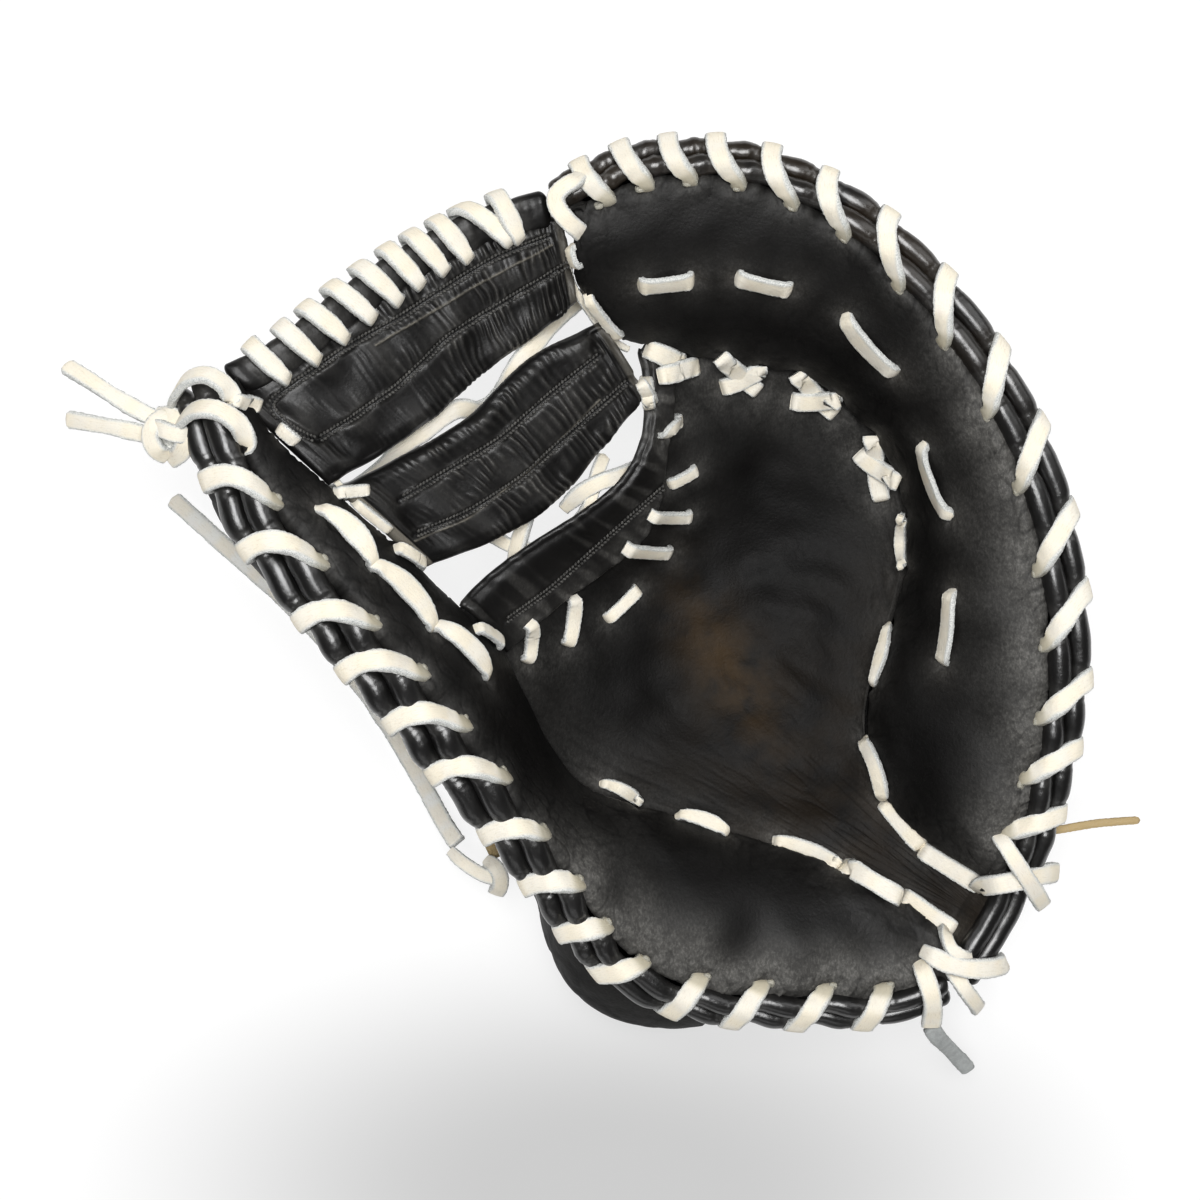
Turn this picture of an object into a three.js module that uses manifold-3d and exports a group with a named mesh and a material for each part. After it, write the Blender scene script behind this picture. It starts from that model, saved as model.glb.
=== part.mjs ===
// A first baseman's mitt lying on its back with the pocket facing up.
// Millimetres, +Z up, +Y towards the fingertips, -X towards the thumb.
// The origin is on the surface that the mitt lies on, under the middle of the mitt.
import * as THREE from "three";
import { mergeVertices } from "three/addons/utils/BufferGeometryUtils.js";
import Module from "manifold-3d";

const wasm = await Module();
wasm.setup();

// Driving dimensions.
const MIDDLE = { x: 5.9, y: 2.95 }; // where the tables have the middle of the mitt
const GAP = 0.4; // between pieces that touch on the real mitt
const PAD = 8.5; // leather and padding of a panel at its thickest
const PANEL_LIP = 3.6; // the panel's thickness where it is laced to the pocket
const PANEL_EDGE = 4.6; // the panel's thickness beside the rolls
const EDGE_TUCK = 0.6; // how far the panel's edge leans in under itself
const LIP_TURN = 1.2; // how far the lip turns down onto the pocket
const TUCK = 3.5; // how far the pocket goes in under the lip
const POCKET_WALL = 3.4; // heavy leather and its liner
const BACK_WALL = 2.8;
const STRAP = { from: 0.28, to: 0.68, reach: 34, wall: 3, pad: 4 };
const LACE = { width: 6.2, thick: 2.6 };
const SLOT_SLACK = 2.2; // a lace hole's width over the lace's
const HOLE_INSET = 5; // from a rim to its row of lace holes
const BACK_HOLE_DROP = 7.5; // from the rolls down to the back's row of lace holes
const LACE_STAND = 0.44; // how far a lace stands off the rolls that it crosses, in roll radii
const ROLL_PITCH = 1.86; // centre to centre of two rolls that lie together, in roll radii
const ROLL_DROP = 1.5; // how far the first roll's centre lies below the rim
const WEB_WALL = 4.4; // a web bar is two layers of leather, sewn
const RUFFLE = 0.8; // height of the ruffles across a bar
const WEB_JOINT = 3.4; // the laced joint between a web bar's end and a panel's lip
const WEB_RIM = { width: 12, thick: 6.4 }; // the folded upper edge of the web
const BASE_BAR = { wide: 0.13, narrow: 0.045, wall: 2.4, lift: 1.9 }; // shares of the pocket's length

// One row of a half is a cut across it. Both halves' rows have these columns.
// rim: outer edge of the padded panel. seam: its inner edge, laced to the pocket.
// puff: crown of the padding. lean: how far the pair of rolls turns outwards, in degrees.
// roll: a roll's radius. belly: lowest height of the back, before it is flattened where it rests.
// drop: how far the back's inner edge hangs below the pocket. bulge: the back's swell outwards.
const COLUMNS = "rimX rimY rimZ seamX seamY seamZ puff lean roll belly drop bulge".split(" ");

// The finger half, from the corner at the web, over the fingertips and down to the heel.
const FINGER_SECTIONS = [
  [-20.9, 130.2, 91, -21.9, 124.5, 90, 1, 55, 3.3, 80, -3.9, 2],
  [-11.9, 133.4, 93, -22.6, 112.1, 86, 2, 55, 3.4, 68, -3.9, 2],
  [-0.9, 137.4, 94, -19.1, 103.4, 78, 4, 55, 3.5, 52, -3.9, 2],
  [15.3, 138.4, 94, -7.0, 90.5, 62, 6, 55, 3.6, 32, -3.9, 2],
  [32.2, 137.0, 93, 13.7, 85.0, 50, 8, 58, 3.6, 18, 0, 2],
  [51.2, 130.2, 91, 38.9, 80.5, 44, 9, 62, 3.6, 9, 0, 2],
  [68.3, 119.8, 89, 60.2, 76.8, 39, 9, 66, 3.6, 3, 0, 3],
  [85.0, 104.6, 86, 78.2, 61.2, 34, 9, 70, 3.6, 0, 0, 4],
  [99.4, 87.8, 84, 89.3, 44.6, 30, 9, 72, 3.6, 0, 0, 5],
  [111.9, 68.6, 82, 93.8, 26.3, 28, 9, 73, 3.6, 0, 3, 5],
  [121.5, 49.4, 80, 92.5, 8.6, 27, 9, 73, 3.6, 0, 7, 5],
  [128.8, 28.6, 78, 87.5, -9.1, 27, 9, 72, 3.6, 0, 10, 5],
  [133.2, 6.5, 76, 82.1, -25.0, 28, 9, 70, 3.6, 0, 12, 5],
  [135.5, -15.8, 73, 79.4, -41.6, 30, 9, 68, 3.6, 0, 14, 5],
  [134.4, -38.0, 70, 81.0, -58.9, 34, 8, 66, 3.6, 0, 18, 5],
  [132.2, -56.4, 66, 88.2, -73.2, 38, 7, 62, 3.5, 0, 22, 4],
  [128.5, -75.7, 61, 100.7, -85.2, 43, 5, 58, 3.4, 3, 25, 4],
  [123.8, -91.4, 55, 118.7, -95.6, 49, 2, 52, 3.2, 8, 26, 3],
];

// The thumb half, from the thumb tip down the side and along the heel.
const THUMB_SECTIONS = [
  [-128.1, 63.4, 111, -125.9, 63.3, 109, 1, 60, 4.2, 94, -3.9, 8],
  [-121.8, 50.1, 111, -117.3, 53.3, 103, 2, 62, 4.2, 82, -3.9, 9],
  [-115.0, 35.7, 110, -106.6, 44.0, 97, 3, 64, 4.3, 68, -3.9, 10],
  [-105.0, 22.1, 109, -94.4, 32.7, 91, 4, 66, 4.3, 56, -3.9, 11],
  [-93.2, 6.9, 107, -81.5, 20.9, 83, 5, 68, 4.3, 45, -3.9, 12],
  [-81.4, -7.4, 104, -68.3, 8.1, 75, 6, 70, 4.3, 34, -3.9, 13],
  [-69.6, -21.3, 100, -55.6, -4.2, 65, 7, 70, 4.3, 24, 0, 14],
  [-58.1, -36.3, 95, -45.6, -15.6, 55, 8, 68, 4.3, 15, 0, 15],
  [-46.3, -52.2, 90, -38.0, -31.4, 45, 9, 66, 4.2, 7, 0, 16],
  [-36.7, -67.3, 85, -30.6, -48.2, 37, 10, 63, 4.1, 2, 0, 17],
  [-28.3, -81.8, 79, -17.3, -61.9, 32, 11, 60, 4.0, 0, 7, 17],
  [-19.8, -96.1, 73, 1.0, -69.4, 31, 11, 56, 3.9, 0, 14, 19],
  [-11.1, -110.0, 67, 21.4, -75.2, 32, 11, 52, 3.7, 0, 16, 26],
  [1.4, -122.5, 61, 39.6, -81.0, 34, 10, 46, 3.5, 0, 17, 32],
  [20.3, -130.8, 56, 57.9, -86.3, 37, 9, 42, 3.4, 0, 18, 28],
  [41.7, -133.4, 53, 73.9, -92.4, 41, 7, 42, 3.4, 0, 18, 14],
  [64.5, -134.1, 51, 88.8, -100.0, 44, 5, 42, 3.4, 0, 20, 4],
  [85.2, -133.6, 50, 100.8, -108.6, 47, 3, 42, 3.3, 0, 20, 2],
  [100.3, -128.4, 50, 109.1, -117.3, 49, 1, 42, 3.2, 0, 20, 1],
];

// The short stretch of rolls across the heel, between the two halves.
const HEEL_SECTIONS = [
  [121.3, -95.6, 51, 117, -92, 50, 0, 62, 3.2, 40, 0, 0],
  [119.4, -101.8, 50, 115, -98, 49, 0, 62, 3.2, 40, 0, 0],
  [115.4, -109.2, 49.5, 111, -105, 49, 0, 62, 3.2, 40, 0, 0],
  [110.6, -116.8, 49.5, 106, -113, 49, 0, 62, 3.2, 40, 0, 0],
  [106.5, -122.5, 49.5, 102, -119, 49, 0, 62, 3.2, 40, 0, 0],
];

// The pocket, from its free upper edge to the heel. thumb, finger: where the cut meets each
// half's seam, counted in that half's rows. sag: its depth. bow: its bend towards the heel.
const POCKET_COLUMNS = ["thumb", "finger", "sag", "bow"];
const POCKET_SECTIONS = [
  [5.75, 3.5, 7, 21],
  [7.0, 4.8, 14, 15],
  [8.1, 6.2, 18, 10],
  [9.2, 7.7, 15, 6],
  [10.3, 9.3, 11, 3],
  [12.25, 11.5, 6, 0],
  [14.4, 13.6, 3, 0],
  [16.05, 15.6, 1, 0],
  [17.5, 16.9, 0, 0],
];

// The web's two bars, from the thumb to the fingers. top, low: the bar's two long edges. A row's
// thumb or finger place says where the bar's end lies on that half's seam.
const WEB_COLUMNS = ["topX", "topY", "topZ", "lowX", "lowY", "lowZ"];
const TOP_BAR = {
  thumb: [[-135, 75, 107], 2.45],
  finger: [[-31, 134.5, 91], [-23.5, 98.5, 76.5]],
  cuts: [
    [-117.6, 84.6, 103, -84.5, 50.5, 85.5],
    [-97.5, 101.3, 98, -69.0, 61.5, 79],
    [-75.9, 116.4, 94, -53.0, 76.5, 75],
    [-53.5, 128.0, 91.5, -37.0, 88.0, 74.5],
  ],
  ruffles: 7,
};
const MIDDLE_BAR = {
  thumb: [2.75, 4.75],
  finger: [2.65, [0.5, 69, 57]],
  cuts: [
    [-80.0, 46.5, 84, -50.0, 21.5, 69],
    [-57.0, 60.0, 77, -29.5, 34.0, 60],
    [-36.0, 80.5, 72, -13.5, 52.0, 56],
  ],
  ruffles: 6,
};

// The rim lace's holes, counted in each half's rows, and how far ahead its outer end lies.
const FINGER_HOLES = [
  1, 2.1, 3.05, 4, 4.95, 5.95, 7.05, 8.1, 9.35, 10.6, 11.85, 12.95, 14.1, 15.25, 16.35,
];
const THUMB_HOLES = [1.35, 2.4, 3.5, 4.8, 6, 7.1, 8.2, 9.55, 10.8, 11.9, 13, 14.1, 15.1, 16.05, 17.05];
const fingerSlant = (u) => Math.min(0.3 + 0.09 * u, 0.85);
const thumbSlant = (u) => (u < 2 ? 0.4 : u < 9 ? 0.8 : 0.55);
const WEB_HOLES = 10;

// The two laces that cross at the heel: one over the ends of the heel's rolls, the other over the
// ends of the thumb half's.
const HEEL_LACE = [
  [100.2, -120.4, 53.2],
  [104.8, -122.6, 53.7],
  [111.2, -124.4, 53.3],
  [117, -124.9, 51.8],
  [122, -124.9, 48.8],
  [125.6, -124.7, 44.5],
  [126.6, -124.4, 39],
];
const HEEL_CORNER_LACE = [
  [96.9, -125.8, 53.3],
  [98.4, -130, 54.1],
  [99.6, -134, 53.6],
  [100.4, -138, 51.3],
  [100.8, -142, 47.4],
  [100.9, -146, 43.6],
];

// The free lace ends' routes, chosen by hand.
const STRAP_TAB = { long: 5.9, wide: 8, thick: 2.6, turn: 0.45, middle: [-51.4, -86.3, 24] };
const TAIL = { width: 5.6, thick: 2.4 };
const TIP_TAIL_UPPER = [
  [-153.95, 58.5, 103.9],
  [-159.6, 61.2, 103.2],
  [-168, 65.8, 101],
  [-177.5, 71.8, 98],
  [-187, 77.4, 94],
];
const TIP_TAIL_LOWER = [
  [-154.45, 53.2, 101.65],
  [-160.3, 54.8, 99.9],
  [-169, 56.9, 96.6],
  [-179, 58.9, 92],
  [-188, 60.7, 87],
];
const STRAP_TAIL = [
  [-64.8, -85, 22.3],
  [-70, -78.5, 15],
  [-75.5, -70, 8],
  [-82, -59.5, 3.4],
  [-88.8, -48.4, 1.7],
  [-98.7, -33.6, 1.4],
  [-109, -20.5, 1.4],
  [-118, -9.5, 1.4],
  [-127.3, -0.3, 1.4],
  [-136, 8, 1.4],
  [-145.6, 16.3, 1.4],
  [-158.4, 27.9, 1.4],
  [-170.5, 38.8, 1.4],
];
const HEEL_TAIL = [
  [101.2, -146.9, 42.3],
  [103.6, -150.5, 39],
  [107.5, -154.8, 32.5],
  [112.5, -160.3, 25],
  [118.5, -167, 18],
];
const FINGER_TAIL = [
  [138, -77.9, 48.4],
  [144, -77.7, 47.6],
  [151, -76.8, 46],
  [158, -76, 43.5],
  [166, -75.6, 41],
  [174.5, -75.3, 38.5],
];

const V3 = THREE.Vector3;
const UP = new V3(0, 0, 1);
const { lerp: mix, clamp, degToRad, smoothstep } = THREE.MathUtils;
const steps = (n) => Array.from({ length: n + 1 }, (_, i) => i / n);
const hump = (v) => 4 * v * (1 - v);

// The Catmull-Rom value of a table's columns at place u, counted in rows.
function at(table, columns, u) {
  const last = table.length - 1;
  const i = clamp(Math.floor(u), 0, last - 1);
  const t = u - i;
  const row = (k) => table[clamp(k, 0, last)];
  const value = {};
  columns.forEach((name, c) => {
    const [a, b, d, e] = [row(i - 1)[c], row(i)[c], row(i + 1)[c], row(i + 2)[c]];
    const bend = (2 * a - 5 * b + 4 * d - e) * t * t + (3 * b - a - 3 * d + e) * t * t * t;
    value[name] = b + 0.5 * ((d - a) * t + bend);
  });
  return value;
}

// A cut across a half at place u: its rim, seam, the two rolls' centres, the run of the rim
// (along) and the level way outwards (out).
function half(table, u) {
  const s = at(table, COLUMNS, u);
  const [rim, seam] = [new V3(s.rimX, s.rimY, s.rimZ), new V3(s.seamX, s.seamY, s.seamZ)];
  const [p, q] = [at(table, COLUMNS, u - 0.05), at(table, COLUMNS, u + 0.05)];
  const along = new V3(q.rimX - p.rimX, q.rimY - p.rimY, q.rimZ - p.rimZ).normalize();
  const out = new V3(along.y, -along.x, 0).normalize();
  if (table !== THUMB_SECTIONS) out.negate();
  const lean = degToRad(s.lean);
  const stack = out.clone().multiplyScalar(Math.sin(lean)).addScaledVector(UP, -Math.cos(lean));
  const roll1 = rim.clone().addScaledVector(out, s.roll + GAP + 0.1).addScaledVector(UP, -ROLL_DROP);
  const roll2 = roll1.clone().addScaledVector(stack, s.roll * ROLL_PITCH + GAP + 0.3);
  const width = Math.hypot(seam.x - rim.x, seam.y - rim.y);
  return { ...s, rim, seam, along, out, roll1, roll2, width };
}

// The panel's front: straight from rim to seam in plan, crowned by its padding, and turned
// down at the lip.
function panelFront(h, v) {
  const p = h.rim.clone().lerp(h.seam, v);
  p.z += h.puff * hump(v) ** 0.9 - LIP_TURN * smoothstep(v, 0.85, 1);
  return p;
}

const panelThickness = (v) => mix(PANEL_EDGE, PANEL_LIP, v) + (PAD - 4.2) * hump(v) ** 0.7;

// Where the pocket passes under the lip, and the inner edge of the back under both.
const underLip = (h) => h.seam.z - LIP_TURN - PANEL_LIP - GAP;
function tuckPoint(h) {
  const p = panelFront(h, 1 - Math.min(TUCK / h.width, 0.5));
  return p.setZ(underLip(h) + 0.8);
}
function hemPoint(h) {
  const p = panelFront(h, 1 - Math.min((TUCK + 0.8) / h.width, 0.5));
  return p.setZ(Math.max(underLip(h) - POCKET_WALL - GAP - BACK_WALL - 1 - h.drop, 0));
}

// A section's underside: each point moved down square to the section, by that point's thickness.
function below(points, thickness) {
  return points.map((p, i) => {
    const run = points[Math.min(i + 1, points.length - 1)].clone().sub(points[Math.max(i - 1, 0)]);
    const level = new V3(-run.y, run.x, 0).normalize();
    const square = new V3().crossVectors(run, level).normalize();
    if (square.z > 0) square.negate();
    return p.clone().addScaledVector(square, thickness(i / (points.length - 1)));
  });
}

// A closed body through rings of points. A ring's points pair up, first with last, and so on
// inwards, which closes the two ends.
function loft(rings) {
  const n = rings[0].length;
  const points = rings.flat();
  const faces = [];
  const quad = (a, b, c, d) => faces.push(a, b, c, a, c, d);
  for (let i = 0; i + 1 < rings.length; i += 1)
    for (let j = 0; j < n; j += 1) {
      const k = (j + 1) % n;
      quad(i * n + j, i * n + k, (i + 1) * n + k, (i + 1) * n + j);
    }
  const end = (rings.length - 1) * n;
  for (let j = 0; j < n / 2 - 1; j += 1) {
    quad(n - 1 - j, n - 2 - j, j + 1, j);
    quad(end + j, end + j + 1, end + n - 2 - j, end + n - 1 - j);
  }
  let volume = 0;
  for (let i = 0; i < faces.length; i += 3) {
    const [a, b, c] = [points[faces[i]], points[faces[i + 1]], points[faces[i + 2]]];
    volume += a.dot(new V3().crossVectors(b, c));
  }
  if (volume < 0) faces.reverse();
  return new THREE.BufferGeometry().setFromPoints(points).setIndex(faces);
}

const ring = (front, back) => [...front, ...back.slice().reverse()];

// A box with its middle at a place, turned to the place's wide and thick directions.
function slotBox({ centre, wide, thick }, width, height, depth) {
  const deep = new V3().crossVectors(wide, thick).normalize();
  const box = new THREE.BoxGeometry(width, height, depth);
  return box.applyMatrix4(new THREE.Matrix4().makeBasis(wide, thick, deep).setPosition(centre));
}

function solid(geometry) {
  const bare = new THREE.BufferGeometry();
  bare.setAttribute("position", geometry.getAttribute("position")).setIndex(geometry.getIndex());
  const merged = mergeVertices(bare, 1e-4);
  const vertProperties = merged.getAttribute("position").array;
  const triVerts = new Uint32Array(merged.getIndex().array);
  return new wasm.Manifold(new wasm.Mesh({ numProp: 3, vertProperties, triVerts }));
}

// A body with its lace holes cut through it.
function pierced(geometry, slots, depth, slack = SLOT_SLACK) {
  const cutter = (s) => solid(slotBox(s, LACE.width + slack, LACE.thick + slack, depth));
  const cut = slots.reduce((body, slot) => body.subtract(cutter(slot)), solid(geometry));
  const { vertProperties, triVerts } = cut.simplify(0.01).getMesh();
  const geometryOut = new THREE.BufferGeometry();
  geometryOut.setAttribute("position", new THREE.BufferAttribute(vertProperties, 3));
  return geometryOut.setIndex(new THREE.BufferAttribute(triVerts, 1));
}

// A padded panel.
function panel(table, from, to, rows, cols) {
  return loft(
    steps(rows).map((t) => {
      const h = half(table, mix(from, to, t));
      const front = steps(cols).map((v) => panelFront(h, v));
      const room = clamp(h.width / 22, 0, 1);
      const under = below(front, (v) => mix(3, panelThickness(v), room));
      under[0] = front[0].clone().addScaledVector(UP, -PANEL_EDGE).addScaledVector(h.out, -EDGE_TUCK);
      return ring(front, under);
    }),
  );
}

// A back's outer side: from under the second roll, out and down to its belly, and up to its
// inner edge. A cubic curve, flattened where it would go below the surface that it lies on.
function backOuter(h, v) {
  const start = h.roll2.clone().addScaledVector(UP, -h.roll - 0.8).addScaledVector(h.out, -1);
  const end = hemPoint(h);
  const low = ((h.belly - (start.z + end.z) / 8) * 4) / 3;
  const first = start.clone().addScaledVector(h.out, h.bulge * 1.6).setZ(low);
  const second = start.clone().lerp(end, 0.8).setZ(low);
  const p = new THREE.CubicBezierCurve3(start, first, second, end).getPoint(v);
  return p.setZ(Math.max(p.z, 0));
}

// The inner side of a back's cut, towards its hollow.
function backInner(h, points) {
  const chord = hemPoint(h).sub(h.roll2).setZ(0).normalize();
  return points.map((p, i) => {
    const a = points[Math.max(i - 1, 0)];
    const b = points[Math.min(i + 1, points.length - 1)];
    const [run, rise] = [b.clone().sub(a).dot(chord), b.z - a.z];
    const long = Math.hypot(run, rise);
    const inward = chord.clone().multiplyScalar(-rise / long).addScaledVector(UP, run / long);
    return p.clone().addScaledVector(inward, BACK_WALL);
  });
}

function back(table, from, to, rows, cols) {
  return loft(
    steps(rows).map((t) => {
      const h = half(table, mix(from, to, t));
      const outer = steps(cols).map((v) => backOuter(h, v));
      return ring(outer, backInner(h, outer));
    }),
  );
}

// A cut across the pocket: tucked under both lips and sagging between them.
function pocketFront(t, cols) {
  const s = at(POCKET_SECTIONS, POCKET_COLUMNS, t * (POCKET_SECTIONS.length - 1));
  const [left, right] = [half(THUMB_SECTIONS, s.thumb), half(FINGER_SECTIONS, s.finger)];
  const [a, b] = [left, right].map((h) => h.seam.clone().setZ(underLip(h)));
  const chord = b.clone().sub(a).setZ(0).normalize();
  const heelward = new V3(chord.y, -chord.x, 0);
  const middle = steps(cols).map((w) => {
    const p = a.clone().lerp(b, w).addScaledVector(heelward, s.bow * Math.sin(Math.PI * w ** 1.6));
    p.z -= s.sag * hump(w) ** 0.9;
    return p;
  });
  return [tuckPoint(left), ...middle, tuckPoint(right)];
}

function pocket(rows, cols) {
  return loft(
    steps(rows).map((t) => {
      const front = pocketFront(t, cols);
      return ring(front, below(front, () => POCKET_WALL));
    }),
  );
}

// The web's base bar: it lies on the pocket along its free edge, wide at the thumb end and
// narrow where it turns up towards the fingers.
function baseBar(cols) {
  return loft(
    steps(cols).map((w, i) => {
      const share = mix(BASE_BAR.wide, BASE_BAR.narrow, smoothstep(w, 0.4, 0.8));
      const across = [0, 0.5, 1].map((k) => pocketFront(k * share, cols)[i + 1]);
      if (i === 0) across.forEach((p) => p.addScaledVector(half(THUMB_SECTIONS, 6.3).out, -GAP - 0.2));
      if (i === cols) across.forEach((p) => p.addScaledVector(half(FINGER_SECTIONS, 3.8).out, -GAP));
      const lift = (by) => across.map((p) => p.clone().addScaledVector(UP, by));
      return ring(lift(BASE_BAR.lift + BASE_BAR.wall), lift(BASE_BAR.lift));
    }),
  );
}

// A round roll of binding leather beside a rim.
function roll(table, which, from, to, rows, sides) {
  return loft(
    steps(rows).map((t) => {
      const h = half(table, mix(from, to, t));
      const square = new V3().crossVectors(h.along, h.out).normalize();
      return steps(sides - 1).map((_, k) => {
        const angle = (2 * Math.PI * (k + 0.5)) / sides;
        const p = h[which].clone().addScaledVector(h.out, h.roll * Math.cos(angle));
        return p.addScaledVector(square, h.roll * Math.sin(angle));
      });
    }),
  );
}

// A lace hole in a panel's front: its place, the lace's wide and thick directions there.
function panelSlot(table, u) {
  const h = half(table, u);
  const v = Math.min(HOLE_INSET / h.width, 0.6);
  const [a, centre, b] = [panelFront(h, v - 0.05), panelFront(h, v), panelFront(h, v + 0.05)];
  const thick = b.sub(a).normalize();
  return { centre, wide: h.along, thick, depth: panelThickness(v) };
}

// A lace hole in a back, a little below the rolls.
function backSlot(table, u) {
  const h = half(table, u);
  const v = clamp(BACK_HOLE_DROP / (4 * (h.roll2.z - h.roll - h.belly)), 0.02, 0.3);
  const [a, centre, b] = [backOuter(h, v - 0.01), backOuter(h, v), backOuter(h, v + 0.01)];
  return { centre, wide: h.along, thick: b.sub(a).normalize(), depth: BACK_WALL };
}

// A ring of a lace that goes straight through a hole, at a height over the leather's surface.
function throughRing(slot, height) {
  const normal = new V3().crossVectors(slot.wide, slot.thick).normalize();
  if (slot.flip) normal.negate();
  return { centre: slot.centre.clone().addScaledVector(normal, height), wide: slot.wide, thick: slot.thick };
}

// A lace's body through its rings. Where a ring states no wide direction, it is square to the
// lace's own run and to its thick direction.
function laceBody(rings, width = LACE.width, thickness = LACE.thick) {
  let last = null;
  return loft(
    rings.map(({ centre, wide, thick }, i) => {
      const before = rings[Math.max(i - 1, 0)].centre;
      const after = rings[Math.min(i + 1, rings.length - 1)].centre;
      const run = after.clone().sub(before).normalize();
      const across = wide ? wide.clone() : new V3().crossVectors(run, thick).normalize();
      if (last && across.dot(last) < 0) across.negate();
      last = across;
      const corner = (a, b) =>
        centre.clone().addScaledVector(across, (a * width) / 2).addScaledVector(thick, (b * thickness) / 2);
      return [corner(1, 1), corner(-1, 1), corner(-1, -1), corner(1, -1)];
    }),
  );
}

// Where a rim lace goes on its way over the two rolls: round which roll, turned how far from the
// common top of both, and with what share of its slant.
const OVER_ROLLS = [
  { centre: "roll1", turn: 52, share: 0.2 },
  { centre: "roll1", turn: 0, share: 0.4 },
  { centre: "roll2", turn: 0, share: 0.7 },
  { centre: "roll2", turn: -62, share: 0.9 },
];

// The lace whipped over the rolls: up through each hole in the panel, over both rolls, back in
// through the back where there is one, and on to the next hole.
function whippedLace(table, holes, slant, backEnd) {
  const rings = [];
  for (const u of holes.slice().reverse()) {
    const hole = orient(panelSlot(table, u), UP);
    rings.push(throughRing(hole, -hole.depth - 2), throughRing(hole, 1));
    const reach = slant(u);
    const around = (name, turn, share) => {
      const h = half(table, u - reach * share);
      const angle = degToRad(h.lean + turn);
      const thick = h.out.clone().multiplyScalar(Math.cos(angle)).addScaledVector(UP, Math.sin(angle));
      const far = h.roll * (1 + LACE_STAND) + LACE.thick / 2;
      rings.push({ centre: h[name].clone().addScaledVector(thick, far), thick });
    };
    OVER_ROLLS.forEach((r) => around(r.centre, r.turn, r.share));
    if (u - reach > backEnd) {
      around("roll2", -125, 1);
      continue;
    }
    const inside = orient(backSlot(table, u - reach), half(table, u - reach).out);
    rings.push(throughRing(inside, 1), throughRing(inside, -BACK_WALL - 1.5));
  }
  return rings;
}

// A slot whose normal points the given way: a lace bends away from its thick direction.
function orient(slot, way) {
  const normal = new V3().crossVectors(slot.wide, slot.thick).normalize();
  return { ...slot, flip: normal.dot(way) < 0 };
}

const material = (color, roughness) => new THREE.MeshStandardMaterial({ color, roughness, metalness: 0 });
const BLACK = material(0x121110, 0.45);
const GLOSSY = material(0x0d0b0a, 0.3);
const CREAM = material(0xe9dfca, 0.75);
const TAN = material(0xcbb27f, 0.85);

const mitt = new THREE.Group();
function add(name, geometry, look) {
  const mesh = new THREE.Mesh(geometry.translate(-MIDDLE.x, -MIDDLE.y, 0), look);
  mesh.name = name;
  mitt.add(mesh);
  return mesh;
}

const FINGER_END = FINGER_SECTIONS.length - 1;
const THUMB_END = THUMB_SECTIONS.length - 1;
const ROWS = 24; // cuts along each half
const FINGER_BACK_END = 16.3;
const THUMB_BACK_END = 14.2;

const fingerSlots = FINGER_HOLES.map((u) => panelSlot(FINGER_SECTIONS, u));
const thumbSlots = THUMB_HOLES.map((u) => panelSlot(THUMB_SECTIONS, u));
const backSlots = (table, holes, slant, end) =>
  holes.map((u) => u - slant(u)).filter((u) => u <= end - 0.3).map((u) => backSlot(table, u));

add("finger_panel", pierced(panel(FINGER_SECTIONS, 0, FINGER_END, ROWS, 4), fingerSlots, 24), BLACK);
add("thumb_panel", pierced(panel(THUMB_SECTIONS, 0, THUMB_END, ROWS, 4), thumbSlots, 24), BLACK);
add("pocket", pocket(13, 7), BLACK);
const fingerBackSlots = backSlots(FINGER_SECTIONS, FINGER_HOLES, fingerSlant, FINGER_BACK_END);
const thumbBackSlots = backSlots(THUMB_SECTIONS, THUMB_HOLES, thumbSlant, THUMB_BACK_END);
add("finger_back", pierced(back(FINGER_SECTIONS, 0, FINGER_BACK_END, 17, 5), fingerBackSlots, 15, 3.4), BLACK);
add("thumb_back", pierced(back(THUMB_SECTIONS, 0, THUMB_BACK_END, 16, 5), thumbBackSlots, 15, 3.4), BLACK);
for (const which of [1, 2]) {
  const place = which === 1 ? "front" : "back";
  add(`finger_${place}_roll`, roll(FINGER_SECTIONS, `roll${which}`, 0, FINGER_END, ROWS, 6), GLOSSY);
  add(`thumb_${place}_roll`, roll(THUMB_SECTIONS, `roll${which}`, 0, THUMB_END, ROWS, 6), GLOSSY);
  add(`heel_${place}_roll`, roll(HEEL_SECTIONS, `roll${which}`, 0.1, 3.45, 6, 6), GLOSSY);
}
const fingerLace = whippedLace(FINGER_SECTIONS, FINGER_HOLES, fingerSlant, FINGER_BACK_END - 0.3);
add("finger_rim_lace", laceBody(fingerLace), CREAM);
const thumbLace = whippedLace(THUMB_SECTIONS, THUMB_HOLES, thumbSlant, THUMB_BACK_END - 0.3);
add("thumb_rim_lace", laceBody(thumbLace), CREAM);
add("web_base_bar", baseBar(7), BLACK);

// A point beside a half's seam, level with it, so far out from the lip over the web.
function besideSeam(table, u, far) {
  const run = half(table, u + 0.1).seam.sub(half(table, Math.max(u - 0.1, 0)).seam);
  const away = new V3(run.y, -run.x, 0).normalize();
  if (table === THUMB_SECTIONS) away.negate();
  return half(table, u).seam.addScaledVector(away, far);
}

// A bar's cuts, its ends taken from the seams that they are laced to.
function barCuts(shape) {
  const place = (table, u) => (Array.isArray(u) ? u : besideSeam(table, u, WEB_JOINT).toArray());
  const end = (table, places) => places.flatMap((u) => place(table, u));
  return [end(THUMB_SECTIONS, shape.thumb), ...shape.cuts, end(FINGER_SECTIONS, shape.finger)];
}
function barCut(shape, t) {
  const cuts = barCuts(shape);
  const s = at(cuts, WEB_COLUMNS, t * (cuts.length - 1));
  return { top: new V3(s.topX, s.topY, s.topZ), low: new V3(s.lowX, s.lowY, s.lowZ) };
}
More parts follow.
